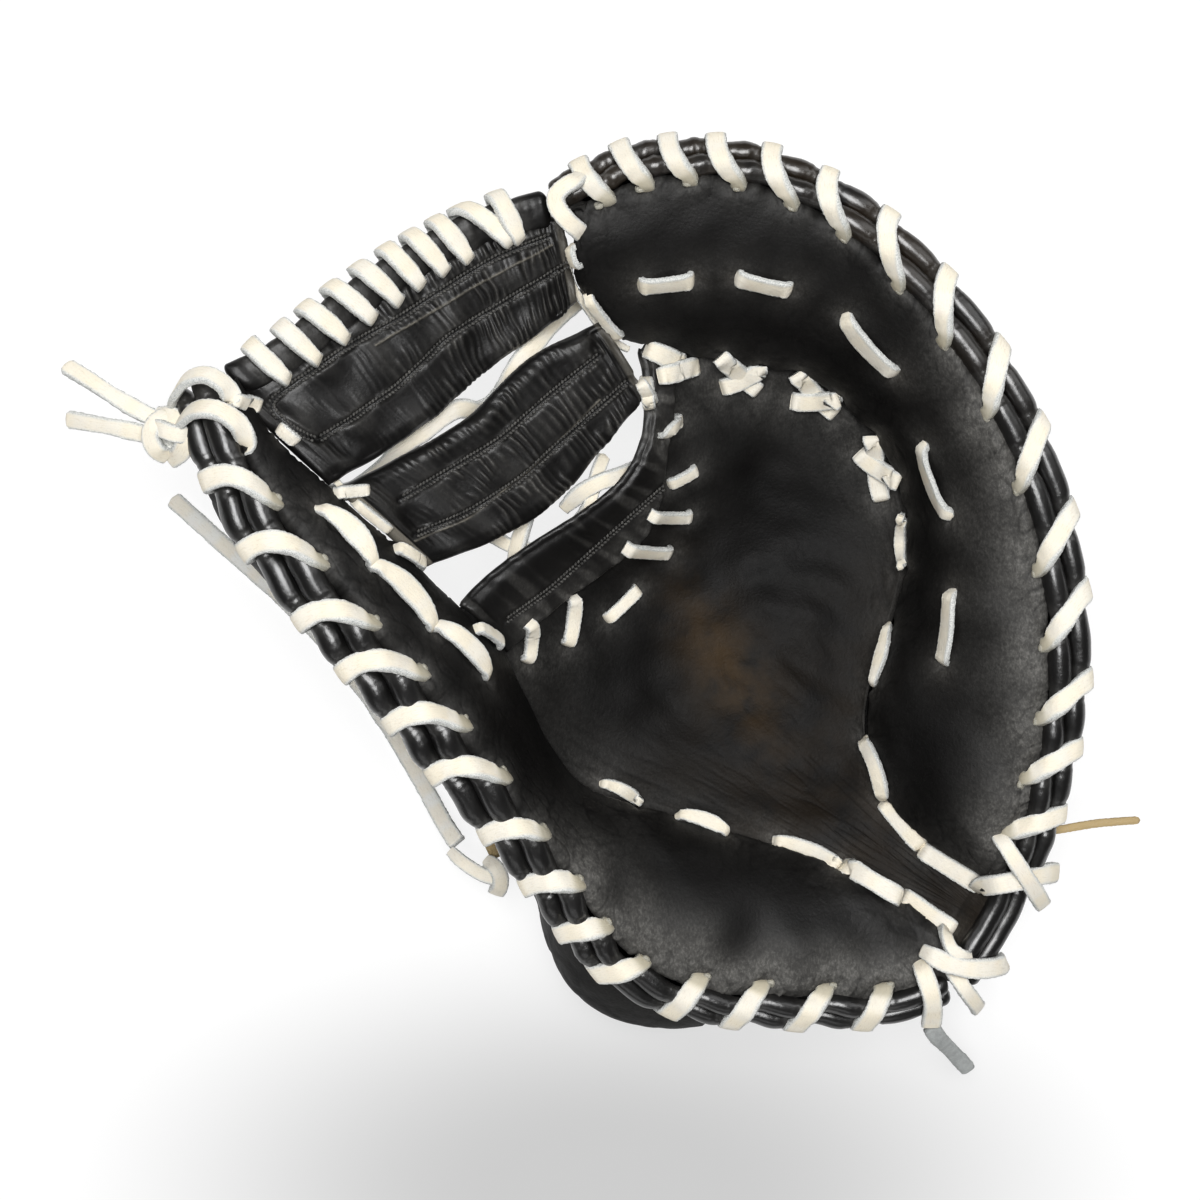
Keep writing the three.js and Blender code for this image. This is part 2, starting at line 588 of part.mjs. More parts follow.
// A bar: two layers of leather with ruffles across it, from so far below its top edge.
function bar(shape, from, rows, cols) {
  return loft(
    steps(rows).map((t) => {
      const { top, low } = barCut(shape, t);
      top.lerp(low, from / top.distanceTo(low));
      const ruffle = RUFFLE * Math.sin(2 * Math.PI * shape.ruffles * t);
      const front = steps(cols).map((v) => top.clone().lerp(low, v).addScaledVector(UP, ruffle * hump(v)));
      return ring(front, below(front, () => WEB_WALL));
    }),
  );
}

// The way down a bar's cut and the way out of its front.
function barFrame(shape, t) {
  const { top, low } = barCut(shape, t);
  const down = low.clone().sub(top).normalize();
  const level = new V3(-down.y, down.x, 0).normalize();
  const front = new V3().crossVectors(down, level).normalize();
  if (front.z < 0) front.negate();
  const ahead = barCut(shape, t + 0.02).top.sub(barCut(shape, t - 0.02).top).normalize();
  const point = (d, n) => top.clone().addScaledVector(down, d).addScaledVector(front, n);
  return { down, front, ahead, point };
}

// The web's upper edge, folded over into a fat rim.
function webRim(rows, sides) {
  return loft(
    steps(rows).map((t) => {
      const { down, front, point } = barFrame(TOP_BAR, t);
      const middle = point(WEB_RIM.width / 2, -WEB_WALL / 2);
      return steps(sides - 1).map((_, k) => {
        const angle = (2 * Math.PI * (k + 0.5)) / sides;
        const p = middle.clone().addScaledVector(down, (WEB_RIM.width / 2) * Math.cos(angle));
        return p.addScaledVector(front, (WEB_RIM.thick / 2) * Math.sin(angle));
      });
    }),
  );
}

// Where the web's lace goes round the rim. down: from the top edge. out: from the bar's front.
// side: the way that the lace's outer face looks. share: of its slant.
const rimFront = (WEB_RIM.thick - WEB_WALL) / 2 + LACE.thick / 2 + GAP + 2;
const rimBehind = -WEB_WALL - rimFront;
const WEB_HOLE_DEPTH = WEB_RIM.width + 4.4;
const ROUND_RIM = [
  { down: WEB_HOLE_DEPTH, out: -WEB_WALL - 2.4, side: "down", share: 0, through: true },
  { down: WEB_HOLE_DEPTH, out: 1, side: "down", share: 0, through: true },
  { down: 10, out: rimFront, side: "front", share: 0.3 },
  { down: 3.5, out: rimFront, side: "front", share: 0.6 },
  { down: -3.7, out: -WEB_WALL / 2, side: "up", share: 0.8 },
  { down: 3.5, out: rimBehind, side: "behind", share: 0.9 },
  { down: 11, out: rimBehind, side: "behind", share: 1 },
];
const webHoles = steps(WEB_HOLES - 1).map((k) => mix(0.14, 0.94, k));
const WEB_SLANT = 0.035;
function webSlot(t) {
  const { down, ahead, point } = barFrame(TOP_BAR, t);
  return { centre: point(WEB_HOLE_DEPTH, -WEB_WALL / 2), wide: ahead, thick: down };
}
function webLace() {
  const rings = [];
  for (const t of webHoles.slice().reverse())
    for (const row of ROUND_RIM) {
      const { down, front, ahead, point } = barFrame(TOP_BAR, t - WEB_SLANT * row.share);
      const sides = { down, front, up: down.clone().negate(), behind: front.clone().negate() };
      rings.push({ centre: point(row.down, row.out), thick: sides[row.side], wide: row.through && ahead });
    }
  return laceBody(rings);
}

// The lace that lies in the joint between a half's lip and the ends of the web's bars.
function jointLace(table, from, to, rows) {
  const rings = steps(rows).map((t) => {
    const u = mix(from, to, t);
    const centre = besideSeam(table, u, WEB_JOINT / 2);
    const wide = besideSeam(table, u, 3).sub(besideSeam(table, u, 1)).normalize();
    centre.z -= 2.4;
    return { centre, wide, thick: UP };
  });
  return laceBody(rings, WEB_JOINT - 2 * GAP, 3.4);
}

// A lace that spans the web behind a gap between two bars, swaying from one to the other.
function gapLace(upper, lower, rows) {
  const rings = steps(rows).map((t) => {
    const sway = 0.5 + 0.42 * Math.sin(2 * Math.PI * 1.5 * t);
    const centre = upper(t).lerp(lower(t), sway);
    centre.z -= WEB_WALL + 4.6;
    return { centre, thick: UP };
  });
  return laceBody(rings, 5, 2);
}

// The sheet between the two backs, under the knuckles: it joins their inner edges.
function backBridge(rows, cols) {
  return loft(
    steps(rows).map((t) => {
      const [left, right] = [half(THUMB_SECTIONS, mix(10.4, 13, t)), half(FINGER_SECTIONS, mix(10.2, 14.2, t))];
      const [a, b] = [hemPoint(left), hemPoint(right)];
      const chord = b.clone().sub(a).setZ(0).normalize().multiplyScalar(GAP + 0.5);
      a.add(chord);
      b.sub(chord);
      const outer = steps(cols).map((w) => {
        const p = a.clone().lerp(b, w);
        return p.setZ(Math.max(p.z - 8 * hump(w), 0));
      });
      return ring(outer.map((p) => p.clone().addScaledVector(UP, BACK_WALL)), outer);
    }),
  );
}

// The wrist strap: a padded band from the thumb back's end to the finger back's, lying on the
// surface round the hand's opening.
function wristStrap(rows, cols) {
  const [left, right] = [half(THUMB_SECTIONS, THUMB_BACK_END), half(FINGER_SECTIONS, FINGER_BACK_END)];
  const edge = (v) => {
    const from = backOuter(left, v).addScaledVector(left.along.clone().setZ(0).normalize(), GAP + 0.3);
    const to = backOuter(right, v).addScaledVector(right.along.clone().setZ(0).normalize(), GAP + 0.3);
    const first = from.clone().addScaledVector(left.along, STRAP.reach).setZ(0);
    const second = to.clone().addScaledVector(right.along, STRAP.reach).setZ(0);
    return new THREE.CubicBezierCurve3(from, first, second, to);
  };
  const [outer, inner] = [edge(STRAP.from), edge(STRAP.to)];
  return loft(
    steps(rows).map((t) => {
      const [a, b] = [outer.getPoint(t), inner.getPoint(t)];
      const under = steps(cols).map((w) => a.clone().lerp(b, w));
      const wall = (w) => STRAP.wall + STRAP.pad * hump(w) * hump(t) ** 0.3;
      return ring(under.map((p, i) => p.clone().addScaledVector(UP, wall(i / cols))), under);
    }),
  );
}

// A free lace end: a flat lace through hand-set points, its long edges bevelled.
function laceTail(points, width, thickness) {
  const route = new THREE.CatmullRomCurve3(points.map((p) => new V3(...p)));
  const [a, b, bevel] = [width / 2, thickness / 2, thickness * 0.3];
  const corners = [[a - bevel, b], [bevel - a, b], [-a, b - bevel], [-a, bevel - b]];
  corners.push([bevel - a, -b], [a - bevel, -b], [a, bevel - b], [a, b - bevel]);
  const count = Math.round(route.getLength() / (2.2 * width)) + 2;
  return loft(
    route.getSpacedPoints(count).map((p, i) => {
      const run = route.getTangentAt(i / count);
      const wide = new V3().crossVectors(run, UP).normalize();
      const thick = new V3().crossVectors(wide, run);
      return corners.map(([x, y]) => p.clone().addScaledVector(wide, x).addScaledVector(thick, y));
    }),
  );
}

// A lace knot: a flattened lump.
function knot(centre, size) {
  const lump = new THREE.SphereGeometry(0.5, 8, 6);
  return lump.scale(...size).translate(...centre);
}

add("web_rim", webRim(14, 8), GLOSSY);
const topBar = bar(TOP_BAR, WEB_RIM.width + GAP, 16, 2);
add("web_top_bar", pierced(topBar, webHoles.map(webSlot), 14), BLACK);
add("web_middle_bar", bar(MIDDLE_BAR, 0, 16, 2), BLACK);
add("web_rim_lace", webLace(), CREAM);
add("web_thumb_lace", jointLace(THUMB_SECTIONS, 0.15, 5.4, 8), CREAM);
add("web_finger_lace", jointLace(FINGER_SECTIONS, 0.7, 3.2, 6), CREAM);
const edgeOf = (shape, side) => (t) => barCut(shape, t)[side];
const pocketEdge = (t) => pocketFront(0, 40)[1 + Math.round(40 * t)].clone();
add("web_upper_lace", gapLace(edgeOf(TOP_BAR, "low"), edgeOf(MIDDLE_BAR, "top"), 12), CREAM);
add("web_lower_lace", gapLace(edgeOf(MIDDLE_BAR, "low"), pocketEdge, 12), CREAM);
add("heel_lace", laceTail(HEEL_LACE, LACE.width, LACE.thick), CREAM);
add("heel_corner_lace", laceTail(HEEL_CORNER_LACE, LACE.width, LACE.thick), CREAM);
add("back_bridge", backBridge(8, 5), BLACK);
add("wrist_strap", wristStrap(10, 4), BLACK);
add("thumb_tip_knot", knot([-148.3, 55.5, 103.3], [11.8, 13, 8]), CREAM);
add("thumb_tip_tail_upper", laceTail(TIP_TAIL_UPPER, TAIL.width, TAIL.thick), CREAM);
add("thumb_tip_tail_lower", laceTail(TIP_TAIL_LOWER, TAIL.width, TAIL.thick), CREAM);
const tab = new THREE.BoxGeometry(STRAP_TAB.long, STRAP_TAB.wide, STRAP_TAB.thick);
add("strap_tab", tab.rotateZ(STRAP_TAB.turn).translate(...STRAP_TAB.middle), TAN);
add("strap_knot", knot([-60, -88, 24], [11, 9, 8]), CREAM);
add("strap_tail", laceTail(STRAP_TAIL, LACE.width, LACE.thick), CREAM);
add("heel_tail", laceTail(HEEL_TAIL, TAIL.width, TAIL.thick), CREAM);
add("finger_tail", laceTail(FINGER_TAIL, 2.8, 2), TAN);

export default mitt;
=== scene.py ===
"""A black leather first base mitt lying on its back, laced with cream rawhide.

Shapes are worked out in millimetres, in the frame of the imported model, and become metres when a
mesh is made. Each half of the mitt is a table of cuts across it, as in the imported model, and a
cut's place is counted in the table's rows.
"""

from __future__ import annotations

import logging
import math
from dataclasses import dataclass, field
from enum import Enum
from typing import Any, Sequence

import bpy
import numpy as np
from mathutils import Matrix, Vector


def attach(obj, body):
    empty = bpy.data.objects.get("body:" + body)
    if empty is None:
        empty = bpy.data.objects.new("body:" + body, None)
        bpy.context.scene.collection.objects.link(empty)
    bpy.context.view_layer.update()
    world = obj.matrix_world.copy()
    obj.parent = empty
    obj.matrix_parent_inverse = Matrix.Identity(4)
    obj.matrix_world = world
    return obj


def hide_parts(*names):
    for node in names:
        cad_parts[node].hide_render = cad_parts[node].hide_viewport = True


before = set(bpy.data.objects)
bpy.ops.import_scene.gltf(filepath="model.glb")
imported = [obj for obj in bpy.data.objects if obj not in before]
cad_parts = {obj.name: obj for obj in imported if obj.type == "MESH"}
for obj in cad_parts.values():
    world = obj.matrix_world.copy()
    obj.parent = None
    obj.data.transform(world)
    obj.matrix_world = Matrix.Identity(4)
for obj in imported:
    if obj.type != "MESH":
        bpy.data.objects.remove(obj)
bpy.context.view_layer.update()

log = logging.getLogger("mitt")
Array = np.ndarray
Piece = bpy.types.Object
Material = bpy.types.Material
Pixel = tuple[float, float]

# Sizes of the mitt, in millimetres
MM = 0.001
MIDDLE = np.array([5.9, 2.95, 0.0])  # where the tables have the middle of the mitt
UP = np.array([0.0, 0.0, 1.0])
GAP = 0.4  # between pieces that touch
PAD = 8.5  # a panel's leather and padding at its thickest
PANEL_EDGE = 4.6  # a panel's thickness beside the rolls
PANEL_LIP = 3.6  # and where it is laced to the pocket
LIP_TURN = 1.2  # how far the lip turns down onto the pocket
TUCK = 3.5  # how far the pocket goes in under the lip
POCKET_WALL = 3.4
BACK_WALL = 2.8
ROLL_DROP = 1.5  # how far the first roll's middle lies below the rim
ROLL_PITCH = 1.86  # between the two rolls' middles, in radii
BACK_HOLE_DROP = 7.5  # from the rolls down to the back's row of holes
WEB_WALL = 4.4
WEB_RIM_WIDE = 12.0
WEB_RIM_THICK = 6.4
LACE_WIDE = 6.4
LACE_THICK = 2.6
TAIL_WIDE = 5.6
TAIL_THICK = 2.4

# The rows in which the two backs end
FINGER_BACK_END = 16.3
THUMB_BACK_END = 14.2

# Points along each stretch of lace
FINE_STEPS = 400
LACE_STEPS = 76
BAND_STEPS = 70

# Columns: rim x, y, z; seam x, y, z; puff of the padding; lean of the pair of rolls in degrees;
# a roll's radius; lowest height of the back; drop of the back's inner edge; the back's bulge.
FINGER_CUTS = np.array([
    [-20.9, 130.2, 91, -21.9, 124.5, 90, 1, 55, 3.3, 80, -3.9, 2],
    [-11.9, 133.4, 93, -22.6, 112.1, 86, 2, 55, 3.4, 68, -3.9, 2],
    [-0.9, 137.4, 94, -19.1, 103.4, 78, 4, 55, 3.5, 52, -3.9, 2],
    [15.3, 138.4, 94, -7.0, 90.5, 62, 6, 55, 3.6, 32, -3.9, 2],
    [32.2, 137.0, 93, 13.7, 85.0, 50, 8, 58, 3.6, 18, 0, 2],
    [51.2, 130.2, 91, 38.9, 80.5, 44, 9, 62, 3.6, 9, 0, 2],
    [68.3, 119.8, 89, 60.2, 76.8, 39, 9, 66, 3.6, 3, 0, 3],
    [85.0, 104.6, 86, 78.2, 61.2, 34, 9, 70, 3.6, 0, 0, 4],
    [99.4, 87.8, 84, 89.3, 44.6, 30, 9, 72, 3.6, 0, 0, 5],
    [111.9, 68.6, 82, 93.8, 26.3, 28, 9, 73, 3.6, 0, 3, 5],
    [121.5, 49.4, 80, 92.5, 8.6, 27, 9, 73, 3.6, 0, 7, 5],
    [128.8, 28.6, 78, 87.5, -9.1, 27, 9, 72, 3.6, 0, 10, 5],
    [133.2, 6.5, 76, 82.1, -25.0, 28, 9, 70, 3.6, 0, 12, 5],
    [135.5, -15.8, 73, 79.4, -41.6, 30, 9, 68, 3.6, 0, 14, 5],
    [134.4, -38.0, 70, 81.0, -58.9, 34, 8, 66, 3.6, 0, 18, 5],
    [132.2, -56.4, 66, 88.2, -73.2, 38, 7, 62, 3.5, 0, 22, 4],
    [128.5, -75.7, 61, 100.7, -85.2, 43, 5, 58, 3.4, 3, 25, 4],
    [123.8, -91.4, 55, 118.7, -95.6, 49, 2, 52, 3.2, 8, 26, 3],
])
THUMB_CUTS = np.array([
    [-128.1, 63.4, 111, -125.9, 63.3, 109, 1, 60, 4.2, 94, -3.9, 8],
    [-121.8, 50.1, 111, -117.3, 53.3, 103, 2, 62, 4.2, 82, -3.9, 9],
    [-115.0, 35.7, 110, -106.6, 44.0, 97, 3, 64, 4.3, 68, -3.9, 10],
    [-105.0, 22.1, 109, -94.4, 32.7, 91, 4, 66, 4.3, 56, -3.9, 11],
    [-93.2, 6.9, 107, -81.5, 20.9, 83, 5, 68, 4.3, 45, -3.9, 12],
    [-81.4, -7.4, 104, -68.3, 8.1, 75, 6, 70, 4.3, 34, -3.9, 13],
    [-69.6, -21.3, 100, -55.6, -4.2, 65, 7, 70, 4.3, 24, 0, 14],
    [-58.1, -36.3, 95, -45.6, -15.6, 55, 8, 68, 4.3, 15, 0, 15],
    [-46.3, -52.2, 90, -38.0, -31.4, 45, 9, 66, 4.2, 7, 0, 16],
    [-36.7, -67.3, 85, -30.6, -48.2, 37, 10, 63, 4.1, 2, 0, 17],
    [-28.3, -81.8, 79, -17.3, -61.9, 32, 11, 60, 4.0, 0, 7, 17],
    [-19.8, -96.1, 73, 1.0, -69.4, 31, 11, 56, 3.9, 0, 14, 19],
    [-11.1, -110.0, 67, 21.4, -75.2, 32, 11, 52, 3.7, 0, 16, 26],
    [1.4, -122.5, 61, 39.6, -81.0, 34, 10, 46, 3.5, 0, 17, 32],
    [20.3, -130.8, 56, 57.9, -86.3, 37, 9, 42, 3.4, 0, 18, 28],
    [41.7, -133.4, 53, 73.9, -92.4, 41, 7, 42, 3.4, 0, 18, 14],
    [64.5, -134.1, 51, 88.8, -100.0, 44, 5, 42, 3.4, 0, 20, 4],
    [85.2, -133.6, 50, 100.8, -108.6, 47, 3, 42, 3.3, 0, 20, 2],
    [100.3, -128.4, 50, 109.1, -117.3, 49, 1, 42, 3.2, 0, 20, 1],
])
HEEL_CUTS = np.array([
    [121.3, -95.6, 51, 117, -92, 50, 0, 62, 3.2, 40, 0, 0],
    [119.4, -101.8, 50, 115, -98, 49, 0, 62, 3.2, 40, 0, 0],
    [115.4, -109.2, 49.5, 111, -105, 49, 0, 62, 3.2, 40, 0, 0],
    [110.6, -116.8, 49.5, 106, -113, 49, 0, 62, 3.2, 40, 0, 0],
    [106.5, -122.5, 49.5, 102, -119, 49, 0, 62, 3.2, 40, 0, 0],
])
# Columns: where the pocket's cut meets the thumb's seam and the finger's; its sag; its bow.
POCKET_CUTS = np.array([
    [5.75, 3.5, 7, 21],
    [7.0, 4.8, 14, 15],
    [8.1, 6.2, 18, 10],
    [9.2, 7.7, 15, 6],
    [10.3, 9.3, 11, 3],
    [12.25, 11.5, 6, 0],
    [14.4, 13.6, 3, 0],
    [16.05, 15.6, 1, 0],
    [17.5, 16.9, 0, 0],
])
# The rim laces in the photograph: pixels of each stitch's hole and of its outer turn.
FINGER_WHIPS = (
    ((604, 203), (583, 173)), ((645, 187), (620, 150)), ((692, 182), (667, 140)), ((742, 182), (716, 130)),
    ((796, 203), (775, 140)), ((850, 235), (835, 163)), ((907, 285), (901, 200)), ((950, 343), (963, 258)),
    ((992, 416), (1014, 333)), ((1022, 492), (1052, 413)), ((1040, 575), (1082, 503)),
    ((1048, 650), (1096, 585)), ((1037, 722), (1102, 677)), ((1020, 785), (1092, 747)),
    ((1000, 840), (1080, 817)),
)
THUMB_WHIPS = (
    ((277, 505), (200, 485)), ((322, 565), (243, 555)), ((377, 622), (300, 622)), ((425, 672), (348, 670)),
    ((468, 722), (393, 723)), ((507, 775), (433, 775)), ((545, 833), (478, 840)), ((570, 890), (505, 900)),
    ((597, 935), (535, 950)), ((645, 966), (576, 982)), ((707, 978), (663, 1012)), ((770, 983), (728, 1022)),
    ((832, 986), (793, 1029)), ((890, 986), (860, 1027)),
)

# The free lace ends' routes.
TIP_TAIL_UPPER = [
    [-153.95, 58.5, 103.9], [-159.6, 61.2, 103.2], [-168, 65.8, 101], [-177.5, 71.8, 98], [-187, 77.4, 94],
]
TIP_TAIL_LOWER = [
    [-154.45, 53.2, 101.65], [-160.3, 54.8, 99.9], [-169, 56.9, 96.6], [-179, 58.9, 92], [-188, 60.7, 87],
]
STRAP_TAIL = [
    [-64.8, -85, 22.3], [-70, -78.5, 15], [-75.5, -70, 8], [-82, -59.5, 3.4], [-88.8, -48.4, 1.7],
    [-98.7, -33.6, 1.4], [-109, -20.5, 1.4], [-118, -9.5, 1.4], [-127.3, -0.3, 1.4], [-136, 8, 1.4],
    [-145.6, 16.3, 1.4], [-158.4, 27.9, 1.4], [-170.5, 38.8, 1.4],
]
HEEL_TAIL = [
    [101.2, -146.9, 42.3], [103.6, -150.5, 39], [107.5, -154.8, 32.5], [112.5, -160.3, 25], [118.5, -167, 18],
]
FINGER_TAIL = [
    [138, -77.9, 48.4], [144, -77.7, 47.6], [151, -76.8, 46], [158, -76, 43.5], [166, -75.6, 41],
    [174.5, -75.3, 38.5],
]
# The routes of the laces at the heel.
HEEL_LACE = [
    [97.5, -119.2, 49.5], [100.2, -120.4, 53.2], [104.8, -122.6, 53.9], [111.2, -124.4, 53.5],
    [117, -124.9, 52], [122, -124.9, 49], [125.6, -124.7, 44.5], [126.6, -124.4, 39],
]
HEEL_CORNER_LACE = [
    [96, -123.4, 48.5], [96.9, -125.8, 53.3], [98.4, -130, 54.3], [99.6, -134, 53.8],
    [100.4, -138, 51.5], [100.8, -142, 47.6], [100.9, -146, 43.6],
]


# Numbers and curves


def later() -> Any:
    """A field that is worked out, not given."""
    return field(init=False)


def steps(count: int) -> Array:
    """Even steps from 0 to 1."""
    return np.linspace(0, 1, count)


def turns(count: int) -> Array:
    """Angles in even steps once round."""
    return np.linspace(0, 2 * np.pi, count)


def held(x: Array) -> Array:
    """Values kept between 0 and 1."""
    return np.clip(x, 0, 1)


def norm(a: Array) -> Array:
    """How long vectors are, along the last axis."""
    return np.linalg.norm(a, axis=-1)


def smooth(x: Array | float, low: float, high: float) -> Array:
    """Rises from 0 at low to 1 at high along 3k^2 - 2k^3, k being the share of the way."""
    k = held((np.asarray(x, float) - low) / (high - low))
    return k * k * (3 - 2 * k)


def mix(a: Any, b: Any, share: Any) -> Any:
    """The value so far on the way from a to b."""
    return a + (b - a) * share


def hump(v: Array) -> Array:
    """A parabola that is 0 at 0 and at 1, and 1 halfway."""
    return 4 * held(v) * (1 - held(v))


def bell(distance: Array, reach: float) -> Array:
    """exp(-(distance / reach)^2)."""
    return np.exp(-((distance / reach) ** 2))


def unit(a: Array) -> Array:
    """Vectors made 1 long, along the last axis."""
    return a / np.maximum(np.linalg.norm(a, axis=-1, keepdims=True), 1e-9)


def dot(a: Array, b: Array) -> Array:
    """Dot products along the last axis."""
    return (a * b).sum(-1)


def stacked(*parts: Any) -> Array:
    """Arrays brought to one shape and put side by side along a new last axis."""
    return np.stack(np.broadcast_arrays(*parts), -1)


def ray(angle: Array) -> Array:
    """(cos, sin) of angles."""
    return stacked(np.cos(angle), np.sin(angle))


def soft_square(turn: Array, power: float) -> tuple[Array, Array]:
    """x and y round a superellipse: sign(cos) |cos|^power, and the same of the sine."""
    x, y = np.cos(turn), np.sin(turn)
    return np.sign(x) * np.abs(x) ** power, np.sign(y) * np.abs(y) ** power


def round_end(far: Array, reach: Any, least: float) -> Array:
    """The share of its size that a body has so far from its round end: sqrt(1 - (1 - far / reach)^2)."""
    return np.sqrt(np.clip(1 - (1 - held(far / reach)) ** 2, least, 1))


def cubic(a: Array, b: Array, c: Array, d: Array, k: Array) -> Array:
    """The cubic curve from a to d that b and c pull at: a(1-k)^3 + 3bk(1-k)^2 + 3ck^2(1-k) + dk^3."""
    return a * (1 - k) ** 3 + 3 * b * k * (1 - k) ** 2 + 3 * c * k**2 * (1 - k) + d * k**3


def rightward(way: Array) -> Array:
    """The level direction to the right of a way, seen from above."""
    return unit(np.stack([way[..., 1], -way[..., 0], 0 * way[..., 0]], -1))


def leaned(path: Array, face: Array, angle: Array) -> Array:
    """Faces along a path turned about its run: face cos(angle) + side sin(angle)."""
    side = unit(np.cross(np.gradient(path, axis=0), face))
    return face * np.cos(angle)[:, None] + side * np.sin(angle)[:, None]


def to_lines(grid: Array, lines: Sequence[Array]) -> Array:
    """How far each point of a grid is from the nearest point of some lines."""
    return np.stack([norm(grid[:, :, None] - line).min(-1) for line in lines]).min(0)


def lengths(path: Array) -> Array:
    """How far along a path each of its points lies."""
    return np.r_[0, np.cumsum(np.linalg.norm(np.diff(path[:, :3], axis=0), axis=1))]


def catmull(rows: Array, place: Array) -> Array:
    """The Catmull-Rom curve through a table's rows, b + (c - a) t / 2 and so on, straight beyond its ends.

    Args:
        rows: the table, a row for each cut.
        place: where to read it, counted in rows, of any shape.

    Returns:
        The values, with the table's columns as a last axis.
    """
    place = np.asarray(place, float)
    last = len(rows) - 1
    i = np.clip(np.floor(place).astype(int), 0, last - 1)
    t = (np.clip(place, 0, last) - i)[..., None]
    a, b, c, d = (rows[np.clip(i + k, 0, last)] for k in (-1, 0, 1, 2))
    bend = (2 * a - 5 * b + 4 * c - d) * t**2 + (3 * b - a - 3 * c + d) * t**3
    beyond = (place - np.clip(place, 0, last))[..., None]
    return b + 0.5 * ((c - a) * t + bend) + (c - b) * beyond


def resample(path: Array, count: int) -> Array:
    """The path's points and further columns at even distances along it."""
    run = lengths(path)
    at = np.linspace(0, run[-1], count)
    return np.stack([np.interp(at, run, path[:, k]) for k in range(path.shape[1])], 1)


def soften(path: Array, passes: int) -> Array:
    """Rounds corners: each pass moves a point a quarter of the way to each neighbour."""
    out = path.copy()
    for _ in range(passes):
        out[1:-1] = 0.25 * out[:-2] + 0.5 * out[1:-1] + 0.25 * out[2:]
    return out


def rounded(points: Sequence[Sequence[float]], count: int) -> Array:
    """A smooth path of so many evenly spaced points through given ones."""
    rows = np.asarray(points, float)
    fine = catmull(rows, np.linspace(0, len(rows) - 1, 40 * len(rows)))
    return resample(fine, count)


class Ripples:
    """Seeded, band-limited noise: a sum of cosine waves in random directions."""

    def __init__(self, seed: int, wave: float, stretch: Sequence[float] = (1, 1, 1), count: int = 22):
        """Draws the waves.

        Args:
            seed: of the random draws.
            wave: the usual wave length, in the units of the points.
            stretch: how much longer the waves are along each axis.
            count: how many waves.
        """
        draw = np.random.default_rng(seed)
        way = unit(draw.normal(size=(count, len(stretch)))) / np.asarray(stretch, float)
        self.waves = way * (2 * np.pi / wave) * draw.uniform(0.7, 1.4, (count, 1))
        self.phase = draw.uniform(0, 2 * np.pi, count)

    def at(self, points: Array) -> Array:
        """The noise at each point, mostly from -1 to 1."""
        turn = points @ self.waves.T + self.phase
        return np.cos(turn).sum(-1) * 0.85 / math.sqrt(len(self.phase))

    def creases(self, points: Array, sharp: float = 6.0) -> Array:
        """Thin valleys, 1 in the valley, where the noise crosses 0: exp(-(sharp * noise)^2)."""
        return np.exp(-((sharp * self.at(points)) ** 2))


def normals_of(grid: Array) -> Array:
    """Unit normals of a grid of points, turned upwards on the whole."""
    normal = unit(np.cross(np.gradient(grid, axis=0), np.gradient(grid, axis=1)))
    return -normal if normal[..., 2].mean() < 0 else normal


# Meshes


def quads_of(rows: int, columns: int, flip: bool = False) -> Array:
    """The corner numbers of a grid's quads, in rows from the first point."""
    i = np.arange(rows * columns).reshape(rows, columns)
    quads = np.stack([i[:-1, :-1], i[:-1, 1:], i[1:, 1:], i[1:, :-1]], -1).reshape(-1, 4)
    return quads[:, ::-1] if flip else quads


